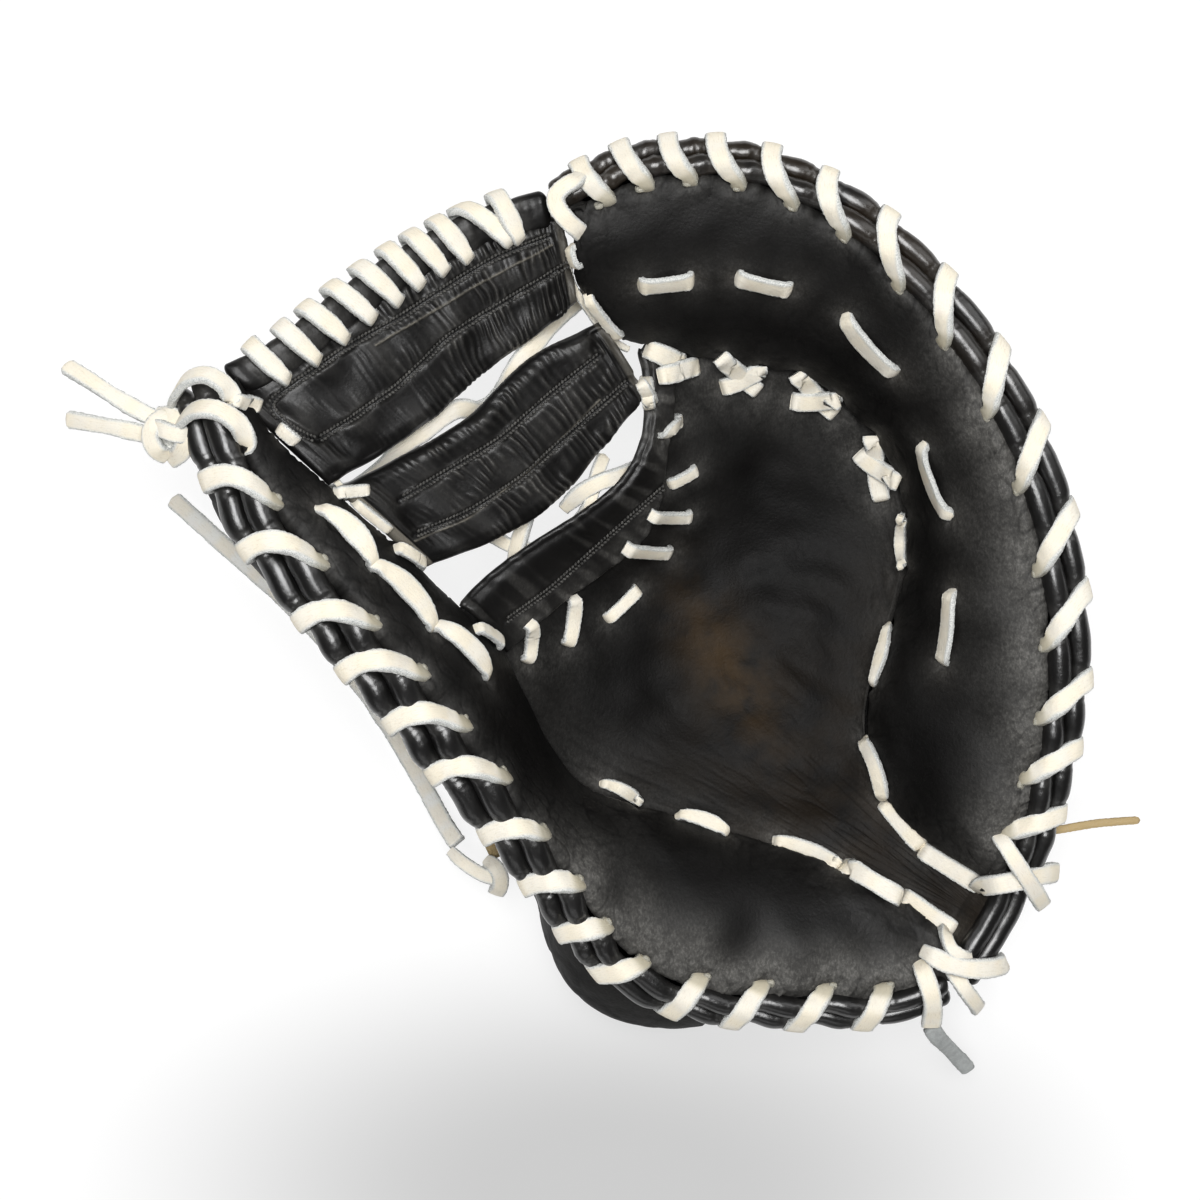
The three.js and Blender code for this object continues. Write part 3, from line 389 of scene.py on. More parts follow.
@dataclass
class Meshwork:
    """Collects closed bodies made of grids, and turns them into one mesh object."""

    name: str
    points: list[Array] = field(default_factory=list)
    quads: list[Array] = field(default_factory=list)
    uvs: list[Array] = field(default_factory=list)
    marks: list[dict[str, Array]] = field(default_factory=list)
    count: int = 0

    def body(self, grids: Sequence[tuple[Array, Array, dict[str, Array], bool]]) -> None:
        """Adds a closed body, and turns its faces outwards by the sign of its volume.

        Args:
            grids: each has its points, its texture places, its marks and whether it is flipped.
        """
        quads, start = [], 0
        for points, _, _, flip in grids:
            quads.append(quads_of(*points.shape[:2], flip) + start)
            start += points.shape[0] * points.shape[1]
        flat = np.concatenate([g[0].reshape(-1, 3) for g in grids])
        faces = np.concatenate(quads)
        a, b, c, d = (flat[faces[:, k]] - flat[0] for k in range(4))
        volume = dot(a, np.cross(b, c)).sum() + dot(a, np.cross(c, d)).sum()
        self.quads.append((faces[:, ::-1] if volume < 0 else faces) + self.count)
        self.points.append(flat)
        self.uvs.append(np.concatenate([g[1].reshape(-1, 2) for g in grids]))
        names = {name for g in grids for name in g[2]}
        self.marks.append({
            name: np.concatenate([
                np.broadcast_to(g[2].get(name, 0.0), g[0].shape[:2]).reshape(-1) for g in grids
            ])
            for name in names
        })
        self.count += len(flat)

    def tube(self, rings: Array, uv: Array | None = None, **marks: Any) -> "Meshwork":
        """Adds a body of rings whose last column becomes the first, closed at its ends by fans.

        Args:
            rings: points as (along, around, 3).
            uv: their texture places as (along, around, 2).
            marks: named values as (along, around), (along, 1) or one number.

        Returns:
            Itself.
        """
        rings = np.concatenate([rings[:, :-1], rings[:, :1]], 1)
        tips = np.repeat(rings[[0, -1], :-1].mean(axis=1, keepdims=True), rings.shape[1], 1)
        grid = np.concatenate([tips[:1], rings, tips[1:]])
        uv = np.zeros(rings.shape[:2] + (2,)) if uv is None else uv
        row = np.r_[0, np.arange(len(rings)), len(rings) - 1]
        wide = {k: np.broadcast_to(v, rings.shape[:2])[row] for k, v in marks.items()}
        self.body([(grid, uv[row], wide, False)])
        return self

    def slab(self, front: Array, back: Array, bulge: Any, uv: Array, **marks: Array) -> "Meshwork":
        """Adds a sheet with a thickness, its four edges rounded over by half circles.

        Args:
            front: the front's points as (rows, columns, 3).
            back: the back's points, as many.
            bulge: how far the edges stand out at top, right, bottom and left, each one number or by rows.
            uv: texture places as (rows, columns, 2).
            marks: named values as (rows, columns).

        Returns:
            Itself.
        """
        n, m = front.shape[:2]
        i = np.r_[np.zeros(m, int), np.arange(1, n), np.full(m - 1, n - 1), np.arange(n - 2, -1, -1)]
        j = np.r_[np.arange(m), np.full(n - 1, m - 1), np.arange(m - 2, -1, -1), np.zeros(n - 1, int)]
        top, right, bottom, left = (np.broadcast_to(b, n) for b in bulge)
        out = np.zeros((len(i), 3))
        reach = np.zeros(len(i))
        for edge, far, di, dj in (
            (i == 0, top, 1, 0), (j == m - 1, right, 0, -1),
            (i == n - 1, bottom, -1, 0), (j == 0, left, 0, 1),
        ):
            inner = front[np.clip(i + di, 0, n - 1), np.clip(j + dj, 0, m - 1)]
            out += unit(front[i, j] - inner) * edge[:, None]
            reach = np.maximum(reach, far[i] * edge)
        turn = np.linspace(0, np.pi, 9)[:, None, None]
        middle, rise = (front[i, j] + back[i, j]) / 2, (front[i, j] - back[i, j]) / 2
        border = middle + rise * np.cos(turn) + unit(out) * reach[:, None] * np.sin(turn)
        many = np.zeros(len(turn), int)[:, None]
        sides = {k: np.broadcast_to(v, (n, m))[i + many, j + many] for k, v in marks.items()}
        strips = (border, uv[i + many, j + many], sides, True)
        self.body([(front, uv, marks, False), (back, uv, {}, True), strips])
        return self

    def build(self) -> Piece:
        """Makes the mesh object: equal points are merged, and a quad with two of them is a triangle."""
        points = np.concatenate(self.points)
        quads = np.concatenate(self.quads)
        _, first, place = np.unique(np.round(points, 4), axis=0, return_index=True, return_inverse=True)
        place = place.reshape(-1)
        corners = place[quads]
        keep = corners != np.roll(corners, -1, axis=1)
        whole = keep.sum(1) >= 3
        corners, keep, source = corners[whole], keep[whole], quads[whole]
        sizes = keep.sum(1)
        mesh = bpy.data.meshes.new(self.name)
        mesh.vertices.add(len(first))
        mesh.vertices.foreach_set("co", (points[first] * MM).astype(np.float32).reshape(-1))
        mesh.loops.add(int(sizes.sum()))
        mesh.loops.foreach_set("vertex_index", corners[keep].astype(np.int32))
        mesh.polygons.add(len(sizes))
        starts = np.r_[0, np.cumsum(sizes)[:-1]].astype(np.int32)
        mesh.polygons.foreach_set("loop_start", starts)
        mesh.update(calc_edges=True)
        uv = np.concatenate(self.uvs)[source[keep]]
        mesh.uv_layers.new(name="UVMap").data.foreach_set("uv", uv.astype(np.float32).reshape(-1))
        for name in sorted({name for marks in self.marks for name in marks}):
            parts = [
                marks.get(name, np.zeros(len(part))) for marks, part in zip(self.marks, self.points)
            ]
            layer = mesh.attributes.new(name, "FLOAT", "POINT")
            layer.data.foreach_set("value", np.concatenate(parts)[first].astype(np.float32))
        mesh.validate()
        mesh.shade_smooth()
        piece = bpy.data.objects.new(self.name, mesh)
        bpy.context.scene.collection.objects.link(piece)
        return piece


def settle(piece: Piece, material: Material, slot: str, *nodes: str) -> Piece:
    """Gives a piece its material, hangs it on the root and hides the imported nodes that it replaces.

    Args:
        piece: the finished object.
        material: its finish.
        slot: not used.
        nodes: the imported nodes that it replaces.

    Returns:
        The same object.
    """
    piece.data.materials.append(material)
    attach(piece, "root")
    if nodes:
        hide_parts(*nodes)
    log.info("%s: %d faces", piece.name, len(piece.data.polygons))
    return piece


# The camera, and what is placed by it


@dataclass(frozen=True)
class Eye:
    """The camera, straight above the mitt, and the way from a place to a pixel and back."""

    x: float = -19.7
    y: float = -1.45
    height: float = 800.0
    view: float = 440.0  # what it sees of the surface
    image: int = 1200
    sensor: float = 36.0

    def pixels(self, points: Array) -> Array:
        """Pixels of points: the plan distance from the camera's axis over the depth."""
        scale = self.image / self.view * self.height / (self.height - points[..., 2])
        across = (points[..., 0] - self.x) * scale + self.image / 2
        return np.stack([across, self.image / 2 - (points[..., 1] - self.y) * scale], -1)

    def place(self, pixels: Array, z: Array | float) -> Array:
        """The points at the given heights that are seen at the given pixels."""
        pixels = np.asarray(pixels, float)
        z = np.broadcast_to(np.asarray(z, float), pixels.shape[:-1])
        scale = self.view / self.image * (1 - z / self.height)
        x = (pixels[..., 0] - self.image / 2) * scale + self.x
        return np.stack([x, (self.image / 2 - pixels[..., 1]) * scale + self.y, z], -1)

    def build(self) -> None:
        """Makes the camera and the scene look through it."""
        data = bpy.data.cameras.new("camera")
        data.sensor_width = self.sensor
        data.lens = self.sensor * self.height / self.view
        data.clip_start, data.clip_end = 0.05, 20.0
        camera = bpy.data.objects.new("camera", data)
        camera.location = (self.x * MM, self.y * MM, self.height * MM)
        bpy.context.scene.collection.objects.link(camera)
        bpy.context.scene.camera = camera


EYE = Eye()


@dataclass
class Carrier:
    """The leather's front as a cloud of points, on which laces are placed by a pixel."""

    points: Array
    normals: Array

    @classmethod
    def over(cls, grids: Sequence[Array]) -> "Carrier":
        """Gathers grids of points, as (rows, columns, 3)."""
        normals = [normals_of(g).reshape(-1, 3) for g in grids]
        return cls(np.concatenate([g.reshape(-1, 3) for g in grids]), np.concatenate(normals))

    def __post_init__(self) -> None:
        """Works out the cloud's pixels once."""
        self.seen = EYE.pixels(self.points)

    def find(self, pixels: Array) -> tuple[Array, Array]:
        """Places on the leather that are seen at pixels.

        Near each pixel the highest points count, weighted by exp(-(distance / 3)^2).

        Args:
            pixels: as (count, 2).

        Returns:
            The places and the surface's normals there.
        """
        pixels = np.asarray(pixels, float)
        reach, layer = 12.0, 2.5  # how near in pixels a point counts, and how far below the highest
        low, high = pixels.min(0) - reach, pixels.max(0) + reach
        near = np.all((self.seen > low) & (self.seen < high), axis=1)
        points, normals, seen = self.points[near], self.normals[near], self.seen[near]
        far = norm(seen[None] - pixels[:, None])
        top = np.where(far < 5, points[None, :, 2], -1e3).max(1, keepdims=True)
        top = np.where(top < -1, points[None, np.argmin(far, 1), 2].T, top)
        weight = bell(far, 3) * (np.abs(points[None, :, 2] - top) < layer) + 1e-12 * bell(far, 8)
        weight /= weight.sum(1, keepdims=True)
        place = EYE.place(pixels, (weight @ points)[:, 2])
        return place, unit(weight @ normals)


# The two halves and the heel


@dataclass(frozen=True)
class Cut:
    """Cuts across a half, all as arrays over the same places."""

    rim: Array
    seam: Array
    along: Array
    out: Array
    roll1: Array
    roll2: Array
    width: Array
    puff: Array
    lean: Array
    roll: Array
    belly: Array
    drop: Array
    bulge: Array


@dataclass(frozen=True)
class Half:
    """One side of the mitt: a table of cuts, and which way is outwards from its rim."""

    rows: Array
    turn: int
    spread: float = 0.0  # how much further out the rim lies where the leather is pulled wide
    spread_from: float = 7.0  # rows between which that ends
    spread_to: float = 11.0

    @property
    def end(self) -> float:
        """The last row."""
        return len(self.rows) - 1.0

    def cut(self, u: Array | float) -> Cut:
        """Cuts at places counted in rows.

        The first roll lies beside the rim, a radius and a gap outwards. The second lies beside
        the first along (sin lean, -cos lean), outwards and down.

        Args:
            u: the places, of any shape.

        Returns:
            The cuts, with the places' shape.
        """
        u = np.asarray(u, float)
        s = catmull(self.rows, u)
        shift = np.r_[MIDDLE, MIDDLE]
        rim, seam = s[..., 0:3] - shift[:3], s[..., 3:6] - shift[3:]
        ahead = catmull(self.rows, u + 0.05) - catmull(self.rows, u - 0.05)
        along = unit(ahead[..., :3])
        out = rightward(along) * self.turn
        rim = rim + out * (self.spread * (1 - smooth(u, self.spread_from, self.spread_to)))[..., None]
        lean, roll = np.radians(s[..., 7]), s[..., 8]
        stack = out * np.sin(lean)[..., None] - UP * np.cos(lean)[..., None]
        roll1 = rim + out * (roll + GAP + 0.1)[..., None] - UP * ROLL_DROP
        roll2 = roll1 + stack * (roll * ROLL_PITCH + GAP + 0.3)[..., None]
        width = np.hypot(seam[..., 0] - rim[..., 0], seam[..., 1] - rim[..., 1])
        rest = (s[..., 6], lean, roll, s[..., 9], s[..., 10], s[..., 11])
        return Cut(rim, seam, along, out, roll1, roll2, width, *rest)

    def even(self, start: float, end: float, count: int) -> Array:
        """Places that are evenly spaced along the rim."""
        u = np.linspace(start, end, 400)
        run = lengths(self.cut(u).rim)
        return np.interp(steps(count), run / run[-1], u)


FINGER = Half(FINGER_CUTS, -1)
THUMB = Half(THUMB_CUTS, 1, spread=3.8)
HEEL = Half(HEEL_CUTS, -1)


def panel_front(c: Cut, v: Array) -> Array:
    """A panel's front: straight from rim to seam in plan, plus puff * hump(v)^0.9, less the lip's turn."""
    p = c.rim + (c.seam - c.rim) * v[..., None]
    return p + UP * (c.puff * hump(v) ** 0.9 - LIP_TURN * smooth(v, 0.85, 1))[..., None]


def under_lip(c: Cut) -> Array:
    """The height at which the pocket passes under a panel's lip."""
    return c.seam[..., 2] - LIP_TURN - PANEL_LIP - GAP


def hem_point(c: Cut) -> Array:
    """The inner edge of a back, under the pocket."""
    p = panel_front(c, 1 - np.minimum((TUCK + 0.8) / c.width, 0.5))
    z = under_lip(c) - POCKET_WALL - GAP - BACK_WALL - 1 - c.drop
    p[..., 2] = np.maximum(z, 0)
    return p


def back_outer(c: Cut, v: Array) -> Array:
    """A back's outer side: a cubic curve from under the second roll, down and up to the hem."""
    start = c.roll2 - UP * (c.roll + 0.8)[..., None] - c.out
    end = hem_point(c)
    low = (c.belly - (start[..., 2] + end[..., 2]) / 8) * 4 / 3
    first = start + c.out * (c.bulge * 1.6)[..., None]
    second = mix(start, end, 0.8)
    first[..., 2] = low
    second[..., 2] = low
    p = cubic(start, first, second, end, v[..., None])
    p[..., 2] = np.maximum(p[..., 2], 0)
    return p


def pocket_front(t: Array, w: Array) -> Array:
    """The pocket's front: between the two seams, bowed towards the heel and sagging.

    Args:
        t: from the free upper edge, 0, to the heel, 1.
        w: from the thumb's seam, 0, to the finger's, 1.

    Returns:
        The points.
    """
    s = catmull(POCKET_CUTS, t * (len(POCKET_CUTS) - 1))
    left, right = THUMB.cut(s[..., 0]), FINGER.cut(s[..., 1])
    a, b = left.seam.copy(), right.seam.copy()
    a[..., 2], b[..., 2] = under_lip(left), under_lip(right)
    heelward = rightward(b - a)
    inside = held(w)
    bow = s[..., 3] * np.sin(np.pi * inside**1.6)
    p = mix(a, b, w[..., None]) + heelward * bow[..., None]
    return p - UP * (s[..., 2] * hump(inside) ** 0.9)[..., None]


# Laces


@dataclass(frozen=True)
class Strand:
    """A flat strip of rawhide: smooth on its face, with rough edges and a rough underside."""

    width: float = LACE_WIDE
    thick: float = LACE_THICK
    sides: int = 24
    square: float = 0.36  # the power of the section's superellipse
    fuzz: float = 0.11
    soil: float = 0.0  # how olive it is, as laces are in their holes

    def sweep(
        self, work: Meshwork, path: Array, face: Array, seed: int, squeeze: Any = 1.0, tip: float = 0.0,
        slit: Array | None = None,
    ) -> None:
        """Carries the section |x|^(1/p), |y|^(1/p) along a path.

        Args:
            work: the mesh that takes the strip.
            path: the strip's middle line.
            face: the way that its smooth face looks, about square to the path.
            seed: of its unevenness.
            squeeze: its width there over its full width; it grows thicker as it narrows.
            tip: over what length its far end is rounded off.
            slit: the way that its first hole runs; the strip turns to it there.
        """
        n = len(path)
        run = unit(np.gradient(path, axis=0))
        across = unit(np.cross(run, face))
        if slit is not None:
            near = (1 - smooth(lengths(path), 4.5, 11))[:, None]
            same = np.sign(dot(across, slit))[:, None]
            across = unit(mix(across, slit * same, 0.85 * near))
        up = unit(np.cross(across, run))
        turn = np.linspace(-np.pi / 2, 1.5 * np.pi, self.sides + 1)
        x, y = soft_square(turn, self.square)
        along = lengths(path)
        squeeze = np.broadcast_to(squeeze, n)
        sway = Ripples(seed, 16, (1, 1)).at(stacked(along, float(seed)))
        half = self.width / 2 * squeeze * (1 + 0.05 * sway)
        rise = self.thick / 2 * squeeze**-0.4
        cap = round_end(along[-1] - along, max(tip, 0.01), 0.02)
        half, rise = half * cap, rise * (0.4 + 0.6 * cap)
        crown = 1 + 0.16 * (1 - x**2) * (y > 0)
        rings = path[:, None] + across[:, None] * (half[:, None] * x)[..., None]
        rings = rings + up[:, None] * (rise[:, None] * y * crown)[..., None]
        flesh = 1 - smooth(y, 0.1, 0.75) * (1 - smooth(np.abs(x), 0.64, 0.93))
        rough = Ripples(seed + 1, 1.1).at(rings) + 0.6 * Ripples(seed + 2, 0.6).at(rings)
        outward = unit(rings - path[:, None])
        rings = rings + outward * (self.fuzz * rough * (0.15 + 0.85 * flesh))[..., None]
        uv = stacked(along[:, None] * MM, x * self.width / 2 * MM)
        tint = Ripples(seed + 3, 9).at(path)[:, None]
        soil = self.soil if slit is None else (1 - smooth(along, 6.5, 9.5))[:, None]
        work.tube(rings, uv, flesh=flesh, tint=tint, soil=soil)


STUB = Strand(width=2.9, thick=1.7, sides=14, square=0.6, soil=1.0)


@dataclass(frozen=True)
class Whip:
    """The lace whipped over a half's two rolls, from hole to hole."""

    half: Half
    marks: tuple[tuple[Pixel, Pixel], ...]  # pixels of holes and of outer turns
    back_end: float  # the row up to which it goes into the back
    seed: int
    strand: Strand
    lean: tuple[float, float]  # how far a stitch's face turns about its run at the first and last hole
    quick: tuple[tuple[float, ...], tuple[float, ...]]  # at rows, how soon a stitch runs ahead along the rim
    narrow: float = 0.25  # how much narrower it is beside its hole
    pinch: float = 0.8  # a roll's radius under the lace over its radius elsewhere
    holes: Array = later()
    inset: Array = later()
    ends: Array = later()

    def __post_init__(self) -> None:
        """Finds each stitch's hole and outer turn from their pixels."""
        u, inset = np.meshgrid(np.linspace(-0.4, self.half.end, 700), np.linspace(0.6, 8, 16), indexing="ij")
        c = self.half.cut(u)
        seen = EYE.pixels(panel_front(c, np.minimum(inset / c.width, 0.6)))
        line = np.linspace(-0.6, self.half.end, 900)
        d = self.half.cut(line)
        turn = EYE.pixels(d.roll2 + d.out * (d.roll * self.pinch + 1.6)[:, None] - UP * 1.5)
        found = []
        for hole, outer in self.marks:
            near = np.argmin(norm(seen - mix(np.array(hole), np.array(outer), 0.07)))
            last = np.argmin(norm(turn - np.array(outer)))
            found.append((u.flat[near], inset.flat[near], line[last]))
        for name, column in zip(("holes", "inset", "ends"), np.array(found).T):
            object.__setattr__(self, name, column)

    def crossings(self, share: float) -> Array:
        """Where the lace crosses, so far over its way, in rows."""
        return mix(self.holes, self.ends, 1 - (1 - share) ** np.interp(self.holes, *self.quick))

    def places(self) -> Array:
        """The holes' places on the panel."""
        c = self.half.cut(self.holes)
        return panel_front(c, self.inset / c.width)

    def section(self, number: int) -> Array:
        """The lace's way in the cut's plane, as distances outwards and up from the first roll.

        It comes up through the panel, lies against the circle round the first roll from the
        tangent of its hole, goes on along the common tangent of both rolls' circles, and round
        the second until the tangent to its hole in the back.

        Args:
            number: which stitch it is.

        Returns:
            The points, as (count, 2).
        """
        c, end = self.half.cut(self.holes[number]), self.half.cut(self.ends[number])
        radius = c.roll * self.pinch + LACE_THICK / 2 - 0.1
        rest = panel_front(c, np.asarray(self.inset[number] / c.width)) - c.roll1
        hole = np.array([dot(rest, c.out), rest[2] + 0.6])
        far = max(float(np.linalg.norm(hole)), float(radius) + 0.1)
        hole = hole * (far / np.linalg.norm(hole))
        lean = float(c.lean)
        touch = max(math.atan2(hole[1], hole[0]) - math.acos(min(radius / far, 1.0)), lean + 0.15)
        first = ray(np.linspace(touch, lean, 8)) * radius
        second = np.array([math.sin(lean), -math.cos(lean)]) * (c.roll * ROLL_PITCH + GAP + 0.3)
        if self.ends[number] < self.back_end:
            drop = np.clip(BACK_HOLE_DROP / (4 * (end.roll2[2] - end.roll - end.belly)), 0.02, 0.3)
            low = back_outer(end, np.asarray(drop)) - end.roll1
            exit_hole = np.array([dot(low, end.out) + 0.5, low[2]])
            way = exit_hole - second
            turned = math.atan2(way[1], way[0]) + math.acos(min(radius / np.linalg.norm(way), 1.0))
            around = ray(np.linspace(lean, min(turned, lean - 0.6), 10)) * radius
            tail = np.stack([exit_hole, exit_hole + [-4.0, 0.0]])
        else:
            around = ray(np.linspace(lean, lean - 2.5, 14)) * radius
            tail = around[-1:] + [-3.0, 0.6] + second
        return np.concatenate([hole + [[-0.9, -5.5], [-0.5, -1.4]], [hole], first, second + around, tail])

    def stitch(self, work: Meshwork, number: int) -> None:
        """Adds one stitch, led from its hole's row to its outer turn's, and the stub in its hole.

        Args:
            work: the mesh that takes it.
            number: which stitch it is.
        """
        flat = resample(soften(resample(self.section(number), 90), 10), FINE_STEPS)
        way = lengths(flat)
        outer = way[np.argmax(flat[:, 0])]
        surface = way[np.argmax(flat[:, 1] > self.section(number)[2, 1] - 0.3)]
        along = held((way - surface) / (outer - surface))
        power = float(np.interp(self.holes[number], *self.quick))
        share = soften((1 - (1 - along) ** power)[:, None], 30)[:, 0]
        c = self.half.cut(mix(self.holes[number], self.ends[number], share))
        path = c.roll1 + c.out * flat[:, :1] + UP * flat[:, 1:]
        run = np.gradient(flat, axis=0)
        normal = unit(stacked(-run[:, 1], run[:, 0]))
        face = c.out * normal[:, :1] + UP * normal[:, 1:]
        turn = mix(*self.lean, number / (len(self.holes) - 1)) * (1 - 0.8 * smooth(along, 0.15, 0.8))
        face = leaned(path, face, turn)
        squeeze = 1 - self.narrow * bell(along, 0.08) - 0.2 * smooth(way, outer, way[-1])
        both = resample(np.c_[path, face, squeeze], LACE_STEPS)
        path, face, squeeze = both[:, :3], unit(both[:, 3:6]), both[:, 6]
        hole = self.half.cut(self.holes[number])
        slit = np.broadcast_to(hole.along, path.shape)
        self.strand.sweep(work, path, face, self.seed + 10 * number, squeeze, slit=slit)
        stub = panel_front(hole, np.asarray((self.inset[number] + 2.0) / hole.width))
        lift = np.linspace(-2.0, 0.6, 12)[:, None]
        bent = stub + UP * lift - hole.out * (0.7 * lift)
        STUB.sweep(work, bent, -hole.out + 0 * bent, self.seed + 5 + number, tip=1.2)

    def build(self, name: str, bands: Sequence["Band"]) -> Piece:
        """All stitches as one object, and the bands at the corners."""
        work = Meshwork(name)
        for number in range(len(self.holes)):
            self.stitch(work, number)
        for number, band in enumerate(bands):
            band.sweep(work, self.seed + 500 + 10 * number)
        return work.build()


@dataclass(frozen=True)
class Band:
    """A stretch of lace along pixels, each with its height above the floor in millimetres."""

    rows: tuple[tuple[float, float, float], ...]
    face: tuple[float, float, float] = (0, 0, 1)
    width: float = 6.8

    def sweep(self, work: Meshwork, seed: int) -> None:
        """Adds the band."""
        table = np.array(self.rows, float)
        path = rounded(EYE.place(table[:, :2], table[:, 2]), BAND_STEPS)
        face = np.broadcast_to(np.array(self.face, float), path.shape)
        squeeze = 1 - 0.2 * bell(steps(BAND_STEPS), 0.12)
        Strand(width=self.width).sweep(work, path, face, seed, squeeze)


@dataclass(frozen=True)
class Stitch:
    """A short stretch of lace on the leather, between two holes seen at pixels.

    bow: how far its middle stands off the straight line, in pixels, to the left of its run.
    leaf: from 0, equally wide all along, to 1, with pointed ends.
    lift: how much higher it lies than a lace that rests on the leather, as over another lace.
    """

    start: Pixel
    end: Pixel
    width: float = 6.9
    bow: float = 0.0
    lift: float = 0.0
    leaf: float = 0.0
    sink: float = 2.2  # how deep its ends go in
    tilt: float = 0.28  # how far its face leans to the right of its run

    def pixels(self, count: int) -> Array:
        """Pixels along the stitch: the straight line, plus bow * hump."""
        a, b = np.array(self.start, float), np.array(self.end, float)
        s = steps(count)
        side = unit(np.array([b[1] - a[1], a[0] - b[0]]))
        return mix(a, b, s[:, None]) + side * (self.bow * hump(s))[:, None]

    def sew(self, work: Meshwork, carrier: Carrier, seed: int, level: float) -> None:
        """Adds the stitch: it rises from one hole, arches a little, and sinks into the other.

        Args:
            work: the mesh that takes it.
            carrier: the leather.
            seed: of its unevenness.
            level: how far its face turns from the leather's normal towards straight up.
        """
        count = 44
        place, normal = carrier.find(self.pixels(count))
        s = steps(count)
        height = np.polyval(np.polyfit(s, place[:, 2], 2), s)
        place = np.c_[place[:, :2], height + 0.6 * max(np.max((place[:, 2] - height)[8:-8]), 0)]
        normal = np.broadcast_to(unit(unit(normal.mean(0)) + level * UP), normal.shape)
        ends = smooth(s, 0, 0.08) * smooth(1 - s, 0, 0.08)
        arch = smooth(s, 0, 0.35) * smooth(1 - s, 0, 0.35)
        rise = -self.sink + (self.sink + 0.7) * ends + (0.4 + self.lift) * arch
        path = place + normal * rise[:, None]
        squeeze = mix(1 - 0.1 * (bell(s, 0.1) + bell(1 - s, 0.1)), 0.22 + 0.78 * hump(s) ** 0.55, self.leaf)
        face = leaned(path, normal, self.tilt * smooth(s, 0.02, 0.2) * smooth(1 - s, 0.02, 0.2))
        Strand(width=self.width, thick=2.1).sweep(work, path, face, seed, squeeze)


# The leather panels, the pocket and the backs


@dataclass
class Dents:
    """Places where laces pull the leather in, and the folds that run out from them."""

    places: Array
    depth: float = 1.5
    reach: float = 3.4
    seed: int = 1

    def push(self, points: Array) -> tuple[Array, Array]:
        """How far the leather sinks: depth * exp(-(d / reach)^2), and folds cos(k angle) round it.

        Args:
            points: the surface as (rows, columns, 3).

        Returns:
            The displacement along the normals, and how near each point is to a hole, 0 to 1.
        """
        draw = np.random.default_rng(self.seed)
        shift = np.zeros(points.shape[:2])
        near = np.zeros(points.shape[:2])
        for place in self.places:
            count, phase = draw.integers(6, 10), draw.uniform(0, 2 * np.pi)
            way = points - place
            far = norm(way)
            angle = np.arctan2(way[..., 1], way[..., 0])
            folds = np.cos(count * angle + phase) * np.exp(-far / 4.5) * smooth(far, 0.8, 3.0)
            shift -= self.depth * bell(far, self.reach) - 0.3 * folds
            near = np.maximum(near, np.exp(-far / 6))
        return shift, near


@dataclass
class Sheet:
    """Leather as a grid of points, which is shaped by moving them along its normals."""

    front: Array = later()
    normals: Array = later()

    def moved(self, shift: Array) -> Array:
        """The points moved so far along the normals."""
        return self.front + self.normals * shift[..., None]


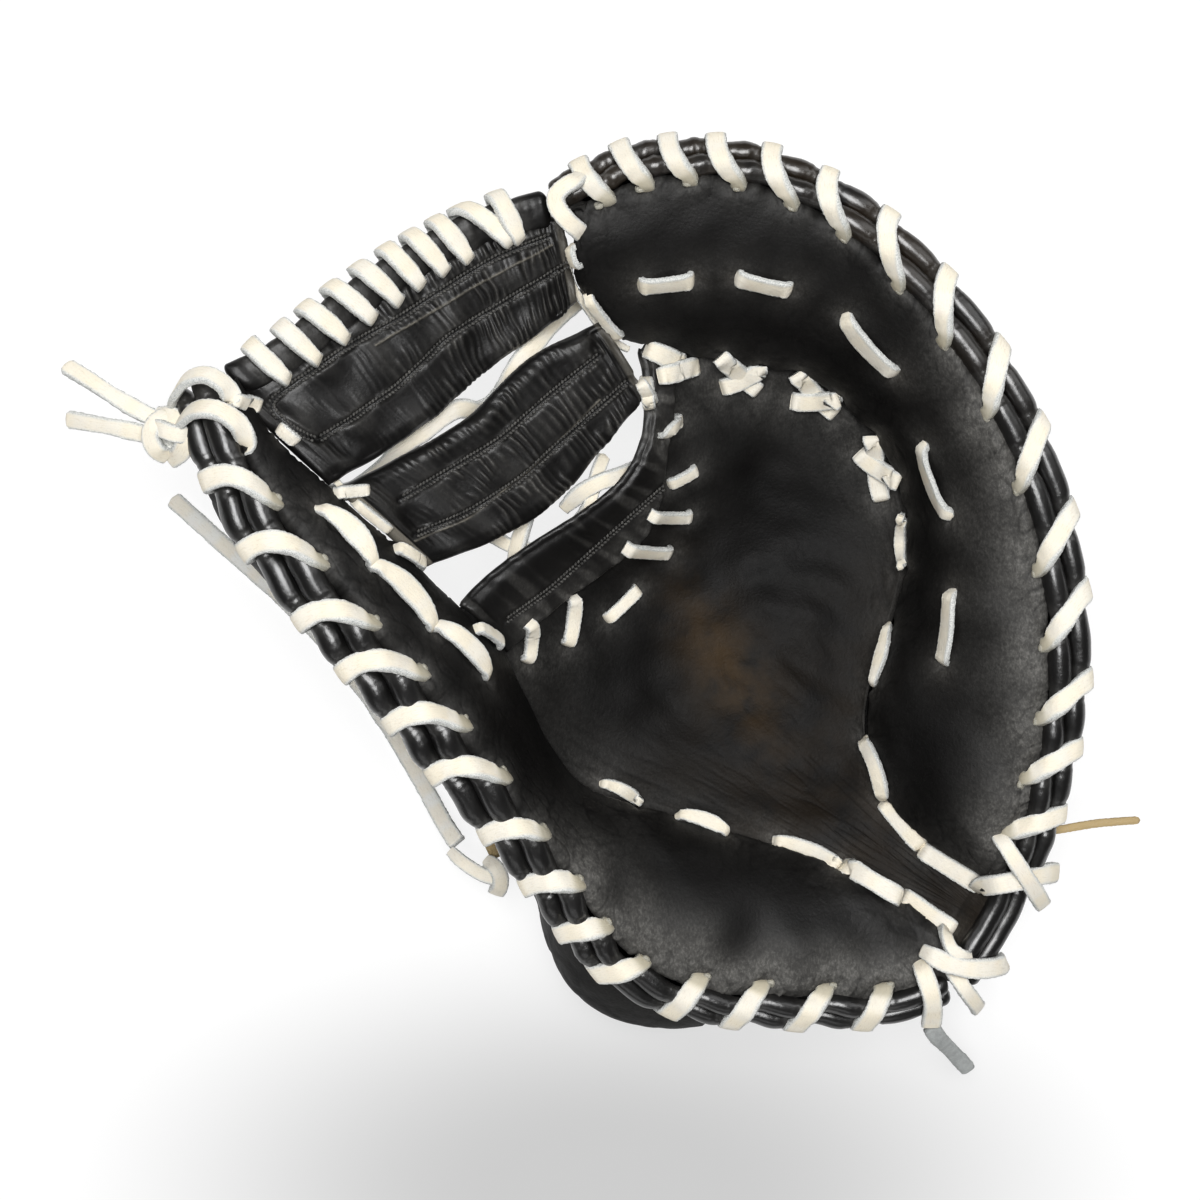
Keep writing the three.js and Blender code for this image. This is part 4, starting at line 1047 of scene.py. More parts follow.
@dataclass
class Panel(Sheet):
    """A padded panel: the front of the finger half or of the thumb half."""

    name: str
    half: Half
    whip: Whip
    seed: int
    start: float
    stop: float
    rub_and_sheen: tuple[float, float, float]  # rows between which it is painted with a broad grey sheen, and how strongly
    web_end: float  # the row up to which its lip reaches over the joint with the web
    thinnest: float = 3.0  # its thickness where it tapers off at its ends
    full_width: float = 22.0  # from this width on, it is as thick as elsewhere
    rows: int = 460
    columns: int = 72
    u: Array = later()
    v: Array = later()
    smooth_front: Array = later()
    width: Array = later()
    room: Array = later()

    def base(self) -> Array:
        """The front without its dents, as (rows, columns, 3), with a gentle unevenness."""
        self.u = self.half.even(self.start, self.stop, self.rows)
        cut = self.half.cut(self.u)
        first = np.minimum(2.0 / cut.width, 0.2)[:, None]
        last = 1 - np.minimum(1.7 / cut.width, 0.2)[:, None]
        self.v = mix(first, last, steps(self.columns)[None])
        wide = Cut(*(getattr(cut, k)[:, None] for k in Cut.__dataclass_fields__))
        self.smooth_front = panel_front(wide, self.v)
        self.width = cut.width[:, None]
        self.room = held(self.width / self.full_width)
        self.normals = normals_of(self.smooth_front)
        wave = Ripples(self.seed, 46).at(self.smooth_front) * 1.2
        wave += Ripples(self.seed + 1, 19).at(self.smooth_front) * 0.4
        self.front = self.smooth_front + self.normals * (wave * self.room * hump(self.v) ** 0.5)[..., None]
        return self.front

    def build(self, sewn: Array) -> Piece:
        """The closed panel.

        Args:
            sewn: the ends of the stitches on it, as (count, 3).

        Returns:
            The object.
        """
        shift, near = Dents(self.whip.places(), 1.5, 3.2, self.seed).push(self.front)
        more, close = Dents(sewn, 1.3, 2.8, self.seed + 1).push(self.front)
        from_rim = self.v * self.width
        from_lip = (1 - self.v) * self.width
        cross = self.half.cut(self.whip.crossings(0.25)).rim
        tight = bell(norm(self.front[:, :1] - cross[None]).min(1)[:, None], 4.5)
        edge = 1.1 * tight * bell(from_rim, 4.0) - 0.5 * (1 - tight) * bell(from_rim - 3.0, 3.0)
        fine = Ripples(self.seed + 2, 7).creases(self.front, 5)
        long_folds = Ripples(self.seed + 3, 12).creases(self.front, 7)
        worn = smooth(from_lip, 30, 4) + smooth(from_rim, 16, 2)
        wrinkle = 0.10 * fine * worn + 0.16 * long_folds * held(worn)
        total = (shift + more) * self.room - edge - wrinkle * self.room
        lip = mix(PANEL_EDGE, PANEL_LIP, self.v)
        thick = mix(self.thinnest, lip + (PAD - 4.2) * hump(self.v) ** 0.7, self.room)
        back = self.smooth_front - self.normals * thick[..., None]
        uv = stacked(steps(self.rows)[:, None], self.v)
        # Painted sheen: a broad grey patch reaching in from the rim between the given rows stands for the
        # light's reflection. With it go real scuffs round the holes and a grey band along the rim that is
        # partly scuffs and partly painted sheen.
        first, last, strength = self.rub_and_sheen
        row = self.u[:, None]
        shine = smooth(row, first - 2, first + 1) * (1 - smooth(row, last - 1, last + 2))
        patch = 0.85 + 0.3 * Ripples(self.seed + 7, 26).at(self.front)
        painted_sheen = strength * shine * patch * smooth(from_rim, 36, 4)
        scuff = held(np.maximum(0.8 * near, 0.9 * close) + 0.12 * smooth(from_rim, 9, 1) + painted_sheen)
        lip_reach = 2.6 + 2.2 * (1 - smooth(self.u, self.web_end - 0.4, self.web_end + 0.4))
        rim_reach = 3.0 + 3.2 * smooth(self.u, 13, 15)
        # Painted shade darkens the wrinkles; brown wear lies beside the stitches.
        marks = {"scuff": scuff, "crease": held(wrinkle * 4), "warm": 0.1 * close}
        reach = (1.0, lip_reach, 1.0, rim_reach)
        return Meshwork(self.name).slab(self.moved(total), back, reach, uv, **marks).build()


@dataclass
class Pocket(Sheet):
    """The sheet between the two panels."""

    seed: int = 71
    rows: int = 240
    columns: int = 190
    warm_at: tuple[float, float] = (25.0, -24.0)  # the brown wear in the middle of the palm
    warm_way: tuple[float, float] = (0.5, -0.87)  # which way it runs
    heel_at: tuple[float, float] = (122.0, -118.0)  # where the pocket's folds run to
    t: Array = later()
    w: Array = later()

    def base(self) -> Array:
        """The front, tucked in under both lips, as (rows, columns, 3)."""
        t = np.linspace(0, 1.05, self.rows)[:, None]
        w = np.linspace(-0.04, 1.04, self.columns)[None]
        self.t, self.w = np.broadcast_arrays(t, w)
        heel = HEEL.cut(mix(4.6, -0.8, self.w[0]))
        edge = heel.rim + heel.out * 1.0 - UP * 0.8
        beyond = smooth(self.t, 1.0, 1.05)[..., None] ** 0.7
        flat = mix(pocket_front(np.minimum(self.t, 1), self.w), edge[None], beyond)
        self.normals = normals_of(flat)
        wave = 1.3 * Ripples(self.seed, 38).at(flat) + 0.45 * Ripples(self.seed + 1, 15).at(flat)
        wave = wave * hump(self.w) ** 0.6 * (1 - smooth(self.t, 0.93, 1.0))
        self.front = flat + self.normals * wave[..., None]
        return self.front

    def build(self, sewn: Array) -> Piece:
        """The closed sheet, with its creases and the dents of the stitches' ends.

        Args:
            sewn: the stitches' ends, as (count, 3).

        Returns:
            The object.
        """
        shift, near = Dents(sewn, 1.0, 3.0, self.seed).push(self.front)
        heel = smooth(self.t, 0.35, 0.85)
        spoke = self.front[..., :2] - np.array(self.heel_at)
        far = norm(spoke)
        fan = stacked(np.arctan2(spoke[..., 1], spoke[..., 0]) * 95, far)
        folds = Ripples(self.seed + 2, 6.5, (1, 8)).creases(fan, 4.5)
        fine = Ripples(self.seed + 5, 3.4, (1, 6)).creases(fan, 4)
        cross = Ripples(self.seed + 3, 5).creases(self.front, 5)
        patch = smooth(Ripples(self.seed + 6, 30).at(self.front), -0.6, 0.5)
        seamward = smooth(np.abs(self.w - 0.5), 0.25, 0.5)
        strong = (0.25 + 0.75 * np.maximum(heel, seamward)) * (0.35 + 0.65 * patch)
        wrinkle = (0.26 * folds + 0.09 * fine) * strong + 0.09 * cross * (0.4 + 0.6 * seamward)
        front = self.moved(shift - wrinkle)
        back = self.front - self.normals * POCKET_WALL
        worn = front[..., :2] - np.array(self.warm_at)
        along, aside = worn @ np.array(self.warm_way), worn @ np.array([-self.warm_way[1], self.warm_way[0]])
        warm = bell(along, 30) * bell(aside, 12) + 0.25 * heel
        # Painted shade darkens the wrinkles; the leather is paler round the stitches and towards both seams.
        scuff, crease = held(0.8 * near + 0.25 * seamward), held(1.8 * wrinkle)
        work = Meshwork("pocket_leather")
        uv = stacked(self.w, self.t)
        return work.slab(front, back, (1.4, 0.2, 0.4, 0.2), uv, scuff=scuff, crease=crease, warm=warm).build()


@dataclass(frozen=True)
class Back:
    """The leather shell behind a half."""

    name: str
    half: Half
    end: float
    seed: int
    swell: float = 0.0
    corner: float = 0.0
    rows: int = 300
    columns: int = 90

    def build(self) -> Piece:
        """The shell: its outer side, its wall's thickness, and wrinkles where it turns under."""
        u = self.half.even(0, self.end, self.rows)[:, None]
        v = steps(self.columns)[None]
        u, v = np.broadcast_arrays(u, v)
        cut = self.half.cut(u)
        outer = back_outer(cut, v)
        more = self.swell * bell(u - 2, 2.4) + self.corner * bell(u - 12.6, 1.2)
        outer = outer + cut.out * (more * hump(np.minimum(v * 2, 1)))[..., None]
        normal = unit(np.cross(np.gradient(outer, axis=0), np.gradient(outer, axis=1)))
        inward = normal if normal[..., 2].mean() > 0 else -normal
        folds = Ripples(self.seed, 13).creases(outer, 4)
        wave = Ripples(self.seed + 1, 40).at(outer)
        free = smooth(v, 0.02, 0.12) * smooth(outer[..., 2], 0.5, 12)
        sink = (0.35 * folds + 0.5 + 0.5 * wave) * free
        shell = outer + inward * sink[..., None]
        inner = outer + inward * BACK_WALL
        # Painted shade darkens the folds; the shell is paler towards the rolls.
        marks = {"crease": held(folds * free), "scuff": 0.3 * smooth(v, 0.25, 0.0)}
        return Meshwork(self.name).slab(shell, inner, (1.0,) * 4, stacked(u, v), **marks).build()


@dataclass(frozen=True)
class Roll:
    """A round binding roll along a rim, squeezed where the lace crosses it."""

    name: str
    half: Half
    which: int  # 1 in front, 2 behind
    start: float
    end: float
    squeezed: Array
    seed: int
    twist: float = 0.0  # how far the pair sways across between two laces
    full: float = 1.17  # its radius between two laces, over the table's
    drawn_in: float = 0.43  # how much of that a lace takes away
    count: int = 760
    sides: int = 28

    def build(self) -> Piece:
        """The roll: radius * (full - drawn in * exp(-(d / 6.2)^2)), with folds beside each lace."""
        u = self.half.even(self.start, self.end, self.count)
        cut = self.half.cut(u)
        centre = cut.roll1 if self.which == 1 else cut.roll2
        run = lengths(centre)
        spots = np.interp(self.squeezed, u, run)
        far = np.abs(run[:, None] - spots[None]).min(1) if len(spots) else np.full(len(run), 40.0)
        tight = bell(far, 6.2)
        ranks = np.arange(len(spots)) if len(spots) else np.zeros(0)
        phase = np.interp(run, np.sort(spots), ranks) if len(spots) > 1 else 0 * run
        sway = -self.twist * np.sin(2 * np.pi * phase)
        centre = centre + cut.out * sway[:, None]
        tip = np.minimum(run, run[-1] - run)
        cap = round_end(tip, cut.roll, 0.0)
        radius = cut.roll * (self.full - self.drawn_in * tight) * np.maximum(cap, 0.02)
        turn = turns(self.sides + 1)
        place = stacked(run[:, None], turn * 3.5)
        lines = Ripples(self.seed, 3.2, (7, 1)).at(place)
        folds = Ripples(self.seed + 1, 2.6, (1, 3)).at(place) * bell(far - 4.5, 3.0)[:, None]
        bumps = Ripples(self.seed + 2, 11, (1, 1)).at(place)
        shape = 1 + (0.012 * lines + 0.035 * folds + 0.02 * bumps) * cap[:, None]
        square = unit(np.cross(cut.along, cut.out))
        spoke = cut.out[:, None] * np.cos(turn)[:, None] + square[:, None] * np.sin(turn)[:, None]
        rings = centre[:, None] + spoke * (radius[:, None] * shape)[..., None]
        uv = stacked(run[:, None] * MM, turn * 3.6 * MM)
        # A painted warm reflection browns the rolls towards the tip; paler scuffs lie beside each lace.
        marks = {"scuff": 0.35 * bell(far - 4, 3)[:, None], "warm": 0.35 * smooth(rings[..., 1], 40, 130)}
        return Meshwork(self.name).tube(rings, uv, **marks).build()


# The web


@dataclass(frozen=True)
class Bar:
    """A web bar: two sewn layers of leather between the thumb's seam and the finger's."""

    thumb: tuple[Any, Any]
    finger: tuple[Any, Any]
    cuts: tuple[tuple[float, ...], ...]
    joint: float = 3.4  # the laced joint between its end and a panel's lip

    @staticmethod
    def beside_seam(half: Half, u: float, far: float) -> Array:
        """A point beside a half's seam, level with it, so far out over the web."""
        ahead, behind = half.cut(u + 0.1).seam, half.cut(max(u - 0.1, 0)).seam
        away = rightward(ahead - behind) * (-1 if half is THUMB else 1)
        return half.cut(u).seam + away * far

    def end_of(self, half: Half, u: Any) -> Array:
        """An end's corner: at a given place, or at the joint beside a half's seam."""
        return np.array(u) - MIDDLE if isinstance(u, tuple) else self.beside_seam(half, u, self.joint)

    def table(self) -> Array:
        """The bar's cuts with both ends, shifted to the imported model's middle."""
        first = np.concatenate([self.end_of(THUMB, u) for u in self.thumb])
        last = np.concatenate([self.end_of(FINGER, u) for u in self.finger])
        return np.stack([first, *(np.array(c) - np.r_[MIDDLE, MIDDLE] for c in self.cuts), last])

    def edges(self, t: Array) -> tuple[Array, Array]:
        """The bar's upper and lower edge at shares of its length."""
        rows = self.table()
        s = catmull(rows, np.asarray(t, float) * (len(rows) - 1))
        return s[..., :3], s[..., 3:]

    def frame(self, t: Array) -> tuple[Array, Array, Array]:
        """The upper edge, the way down the cut and the way out of its front."""
        top, low = self.edges(t)
        down = unit(low - top)
        front = unit(np.cross(down, -rightward(down)))
        return top, down, front * np.sign(front[..., 2:3])


TOP_BAR = Bar(
    ((-135.0, 75.0, 107.0), 2.45),
    ((-31.0, 134.5, 91.0), (-23.5, 98.5, 76.5)),
    (
        (-117.6, 84.6, 103, -84.5, 50.5, 85.5),
        (-97.5, 101.3, 98, -69.0, 61.5, 79),
        (-75.9, 116.4, 94, -53.0, 76.5, 75),
        (-53.5, 128.0, 91.5, -37.0, 88.0, 74.5),
    ),
)
MIDDLE_BAR = Bar(
    (2.75, 4.75),
    (2.65, (0.5, 69.0, 57.0)),
    (
        (-80.0, 46.5, 84, -50.0, 21.5, 69),
        (-57.0, 60.0, 77, -29.5, 34.0, 60),
        (-36.0, 80.5, 72, -13.5, 52.0, 56),
    ),
)


@dataclass
class BarLeather(Sheet):
    """A bar's leather: ruffled across, and drawn in along its seams."""

    name: str
    bar: Bar
    skip: float  # how far below the bar's upper edge it starts
    ruffles: float
    seed: int
    calm: float  # up to what share of its length, from the thumb, the pleats are shallow
    raw_ends: tuple[float, float] = (1, 0.35)  # how pale its cut ends are
    pitch: float = 2.8  # from pleat to pleat
    over: float = 0.016  # how far it reaches over the joints, as a share of its length
    rows: int = 430
    columns: int = 105
    t: Array = later()
    v: Array = later()

    def base(self) -> Array:
        """The front as (rows, columns, 3)."""
        t = np.linspace(-self.over, 1 + self.over, self.rows)[:, None]
        self.v = np.broadcast_to(steps(self.columns)[None], (self.rows, self.columns))
        top, low = self.bar.edges(t[:, 0])
        skip = self.skip / np.linalg.norm(low - top, axis=1)
        top = mix(top, low, skip[:, None])
        self.t = np.broadcast_to(t, self.v.shape)
        self.front = mix(top[:, None], low[:, None], self.v[..., None])
        self.normals = normals_of(self.front)
        swell = 0.8 * np.sin(2 * np.pi * self.ruffles * self.t) * hump(self.v)
        self.front = self.front + self.normals * swell[..., None]
        return self.front

    def build(self, seams: Sequence[Array], edges: Sequence[Array]) -> Piece:
        """The closed bar.

        Between its seams the leather stands up in fine pleats across the bar, as
        (0.5 + 0.5 cos(2 pi run / pitch))^1.4, and along each seam it is drawn in by
        0.7 * exp(-(d / 1.3)^2).

        Args:
            seams: points along each line of stitches.
            edges: points along each cut edge of the upper layer, pale and a little raised.

        Returns:
            The object.
        """
        first = (1 - smooth(self.t + self.over, 0.016, 0.032)) * self.raw_ends[0]
        last = (1 - smooth(1 + self.over - self.t, 0.008, 0.018)) * self.raw_ends[1]
        raw = np.maximum(bell(to_lines(self.front, edges), 0.3), np.maximum(first, last))
        far = to_lines(self.front, [s[::3] for s in seams])
        across = np.linalg.norm(self.bar.edges(self.t[:, 0])[0][-1] - self.bar.edges(np.zeros(1))[0][0])
        place = stacked(self.t * across, self.v * 40)
        free = smooth(far, 0.6, 2.2) * smooth(self.v, 0.0, 0.04) * smooth(1 - self.v, 0.0, 0.03)
        patch = smooth(Ripples(self.seed + 2, 22, (1, 0.8)).at(place), -0.7, 0.5)
        strong = (0.2 + 0.8 * patch) * mix(0.2, 1.0, smooth(self.t, self.calm - 0.2, self.calm + 0.1))
        curve = 0.8 * Ripples(self.seed, 17, (1, 1.4)).at(place) + 2.2 * (self.v - 0.5) ** 2
        curve += 0.25 * Ripples(self.seed + 5, 8, (1, 1.5)).at(place)
        turn = (place[..., 0] + curve) / self.pitch
        tall = 0.25 + 0.75 * smooth(Ripples(self.seed + 4, 9, (1, 1.6)).at(place), -0.8, 0.7)
        ridge = (np.cos(2 * np.pi * turn) * 0.5 + 0.5) ** 1.4 * tall * strong
        slack = Ripples(self.seed + 1, 17, (1, 1.6)).at(place)
        shift = (0.9 * ridge + 0.8 * slack) * free - 0.7 * bell(far, 1.3) + 0.3 * raw
        width = norm(self.front[:, -1:] - self.front[:, :1])
        brink = np.minimum(self.v, 1 - self.v) * width
        shift -= 1.5 * (1 - held(brink / 4.5)) ** 2
        back = self.front - self.normals * WEB_WALL
        # Painted highlight on the pleats' crests, their slack bulges and the raised leather beside the seams;
        # painted shade in the valleys between pleats and along the seams.
        scuff = 0.75 * ridge * free + 0.35 * smooth(slack, -0.2, 1) * free + 0.2 * bell(far - 1.8, 0.8)
        crease = np.maximum(bell(far, 0.8), 0.6 * (1 - smooth(ridge, 0, 0.25)) * strong * free)
        marks = {"scuff": held(scuff), "crease": crease, "raw": raw}
        reach, uv = (1.8, 1.4, 1.8, 1.4), stacked(self.t, self.v)
        return Meshwork(self.name).slab(self.moved(shift), back, reach, uv, **marks).build()


@dataclass(frozen=True)
class Seam:
    """A line of sewing thread along pixels of the photograph: two rows of slanting stitches."""

    pixels: tuple[Pixel, ...]
    pitch: float = 1.35  # from stitch to stitch
    long: float = 1.35
    radius: float = 0.52  # of the thread
    apart: float = 1.6  # from row to row

    def line(self, carrier: Carrier) -> tuple[Array, Array]:
        """Points and normals along the line, four to a stitch."""
        rough = resample(np.c_[np.array(self.pixels, float), np.zeros(len(self.pixels))], 60)[:, :2]
        place, normal = carrier.find(rough)
        count = max(int(lengths(place)[-1] / (self.pitch / 4)), 8)
        both = resample(np.c_[soften(place, 6), soften(normal, 6)], count)
        return both[:, :3], unit(both[:, 3:])

    def sew(self, work: Meshwork, carrier: Carrier, sink: float) -> None:
        """Adds the stitches, each a small capsule with 7 sides.

        Args:
            work: the mesh that takes them.
            carrier: the leather.
            sink: how far below the carrier's surface they lie.
        """
        place, normal = self.line(carrier)
        run = unit(np.gradient(place, axis=0))
        side = np.cross(normal, run)
        step = 4
        turn = turns(8)
        s = np.array([-1, -0.75, 0, 0.75, 1])
        thick = np.sqrt(np.clip(1 - np.abs(s) ** 4, 0.02, 1))
        for row in (-1, 1):
            for k in range(step, len(place) - step, step):
                k = k + (step // 2 if row > 0 else 0)
                if k >= len(place):
                    continue
                way = unit(run[k] + 0.55 * row * side[k])
                centre = place[k] + side[k] * row * self.apart / 2 - normal[k] * sink
                arch = 0.22 * (1 - s**2)
                mid = centre + way * (s * self.long / 2)[:, None] + normal[k] * arch[:, None]
                flat = np.cross(normal[k], way)
                spoke = flat * np.cos(turn)[:, None] + normal[k] * np.sin(turn)[:, None]
                work.tube(mid[:, None] + spoke * (thick * self.radius)[:, None, None])


@dataclass(frozen=True)
class WebRim:
    """The web's folded upper edge, and the lace whipped over it."""

    stitches: tuple[tuple[Pixel, Pixel], ...]
    seed: int = 301

    def place_of(self, pixel: Pixel, shallow: float, deep: float) -> tuple[float, float]:
        """Where a point near the rim is seen at a pixel.

        Args:
            pixel: where it is seen.
            shallow: the least distance below the edge.
            deep: the greatest.

        Returns:
            The share of the rim's length, and the distance below the edge.
        """
        t, down = np.meshgrid(steps(400), np.linspace(shallow, deep, 30), indexing="ij")
        top, way, _ = TOP_BAR.frame(t)
        far = norm(EYE.pixels(top + way * down[..., None]) - np.array(pixel))
        nearest = np.unravel_index(np.argmin(far), far.shape)
        return float(t[nearest]), float(down[nearest])

    def hole_at(self, pixel: Pixel) -> tuple[float, float]:
        """Where a hole below the fold is."""
        return self.place_of(pixel, WEB_RIM_WIDE + 0.8, 18)

    def turn_at(self, pixel: Pixel) -> tuple[float, float]:
        """Where the lace turns over the edge."""
        return self.place_of(pixel, -3, 0)

    def build_rim(self) -> Piece:
        """The fold: a flattened round section, squeezed under each stitch."""
        t = steps(360)
        top, down, front = TOP_BAR.frame(t)
        middle = top + down * WEB_RIM_WIDE / 2 - front * WEB_WALL / 2
        run = lengths(middle)
        spots = np.array([
            np.interp(mix(self.hole_at(a)[0], self.turn_at(b)[0], 0.6), t, run) for a, b in self.stitches
        ])
        far = np.abs(run[:, None] - spots[None]).min(1)
        tight = bell(far, 3.4)
        tip = np.minimum(run, run[-1] - run)
        cap = round_end(tip, 3.0, 0.01)
        turn = turns(41)
        wide, high = soft_square(turn, 0.8)
        spread = stacked(run[:, None], turn * 5)
        ripple = Ripples(self.seed, 6, (1, 3)).at(spread) + 0.5 * Ripples(self.seed + 1, 3, (2, 1)).at(spread)
        size = (1.02 - 0.14 * tight) * cap
        a = (WEB_RIM_WIDE / 2 * size)[:, None] * wide
        b = (WEB_RIM_THICK / 2 * size)[:, None] * high + 0.22 * ripple * (high > 0)
        rings = middle[:, None] + down[:, None] * a[..., None] + front[:, None] * b[..., None]
        uv = stacked(run[:, None] * MM, turn * 5 * MM)
        return Meshwork("web_edge").tube(rings, uv, scuff=0.5 * bell(far - 4.5, 3)[:, None]).build()

    def build_lace(self) -> Piece:
        """The stitches: out of the hole, over the fold, round its top and down behind."""
        work = Meshwork("web_whipping")
        for number, (hole, top) in enumerate(self.stitches):
            (start, deep), (end, _) = self.hole_at(hole), self.turn_at(top)
            way = np.array([
                [deep, -4.5], [deep, 0.2], [deep - 1.0, 1.9], [11.5, 2.5], [8, 2.6], [3.5, 2.5],
                [0.0, 1.8], [-1.9, -0.2], [-2.3, -2.2], [-1.9, -4.4], [0.5, -6.3], [5, -7.0], [10, -7.0],
                [14, -6.4], [15.6, -4.8],
            ])
            flat = rounded(way, 64)
            share = lengths(flat)
            share = held(share / share[-1] * 1.8) ** 1.9
            t = mix(start, end, share)
            edge, down, front = TOP_BAR.frame(t)
            path = edge + down * flat[:, :1] + front * flat[:, 1:]
            run = np.gradient(flat, axis=0)
            normal = unit(stacked(run[:, 1], -run[:, 0]))
            face = down * normal[:, :1] + front * normal[:, 1:]
            face = leaned(path, face, 0.45 * (1 - smooth(share, 0.6, 1.0)))
            squeeze = 1 - 0.25 * bell(share - 0.08, 0.12)
            Strand(width=6.8, thick=2.8).sweep(work, path, face, self.seed + 10 * number, squeeze)
        return work.build()


@dataclass
class BaseBar(Sheet):
    """The strip that lies on the pocket along its free edge and is laced to it."""

    wide: float = 0.13  # its width by the thumb, as a share of the pocket's length
    narrow: float = 0.045  # and by the fingers
    wall: float = 2.4
    lift: float = 1.9  # how far it lies off the pocket
    seed: int = 401
    k: Array = later()
    w: Array = later()

    def base(self) -> Array:
        """The strip's front, over the pocket's first share of its length."""
        w = steps(220)[:, None]
        share = mix(self.wide, self.narrow, smooth(w, 0.4, 0.8))
        k = steps(60)[None]
        w, k = np.broadcast_arrays(w, k)
        flat = pocket_front(k * share, w)
        inwards = (1 - smooth(w, 0.0, 0.05))[..., None] * 1.2 - (1 - smooth(1 - w, 0, 0.05))[..., None] * 1.0
        flat = flat + inwards * unit(flat[-1:] - flat[:1])
        self.k, self.w = k, w
        self.front = flat + UP * (self.lift + self.wall)
        self.normals = normals_of(self.front)
        self.front = self.moved(-1.6 * bell(k, 0.12))
        return self.front

    def build(self, seam: Array, sewn: Array) -> Piece:
        """The closed strip, its free edge folded over.

        Args:
            seam: points along its line of stitches.
            sewn: the lace ends on it.

        Returns:
            The object.
        """
        far = to_lines(self.front, [seam[::3]])
        shift, near = Dents(sewn, 0.9, 3.0, self.seed).push(self.front)
        place = stacked(self.w * 110, self.k * 14)
        ridge = Ripples(self.seed, 6, (1, 4)).at(place) * smooth(far, 1, 3)
        shift = shift - 0.6 * bell(far, 1.4) + 0.35 * ridge
        back = self.front - self.normals * self.wall
        # Real scuffs round the lace ends, and painted highlight on the ridges.
        scuff = held(near + 0.4 * smooth(ridge, 0, 0.8))
        work, reach = Meshwork("web_base_strip"), (0.8, 1.1, 0.8, 1.6)
        return work.slab(self.moved(shift), back, reach, stacked(self.w, self.k), scuff=scuff).build()


# Shader nodes


class Wire:
    """A shader socket that takes part in Python expressions through Math nodes."""

    def __init__(self, graph: "Graph", socket: bpy.types.NodeSocket):
        """Keeps the socket and the graph that it is in."""
        self.graph = graph
        self.socket = socket

    def _math(self, operation: str, *values: Any) -> "Wire":
        """A Math node on this and other values."""
        return self.graph.wire("ShaderNodeMath", dict(enumerate(values)), operation=operation)

    def __add__(self, other: Any) -> "Wire":
        """Sum."""
        return self._math("ADD", self, other)

    def __sub__(self, other: Any) -> "Wire":
        """Difference."""
        return self._math("SUBTRACT", self, other)

    def __rsub__(self, other: Any) -> "Wire":
        """Difference from a number."""
        return self._math("SUBTRACT", other, self)

    def __mul__(self, other: Any) -> "Wire":
        """Product."""
        return self._math("MULTIPLY", self, other)

    __radd__ = __add__
    __rmul__ = __mul__

    def clip(self) -> "Wire":
        """Held between 0 and 1."""
        return self.graph.wire("ShaderNodeClamp", {0: self})

    def ramp(self, low: float, high: float) -> "Wire":
        """0 at low and 1 at high, smoothly between them."""
        inputs = {0: self, 1: low, 2: high}
        return self.graph.wire("ShaderNodeMapRange", inputs, interpolation_type="SMOOTHSTEP")


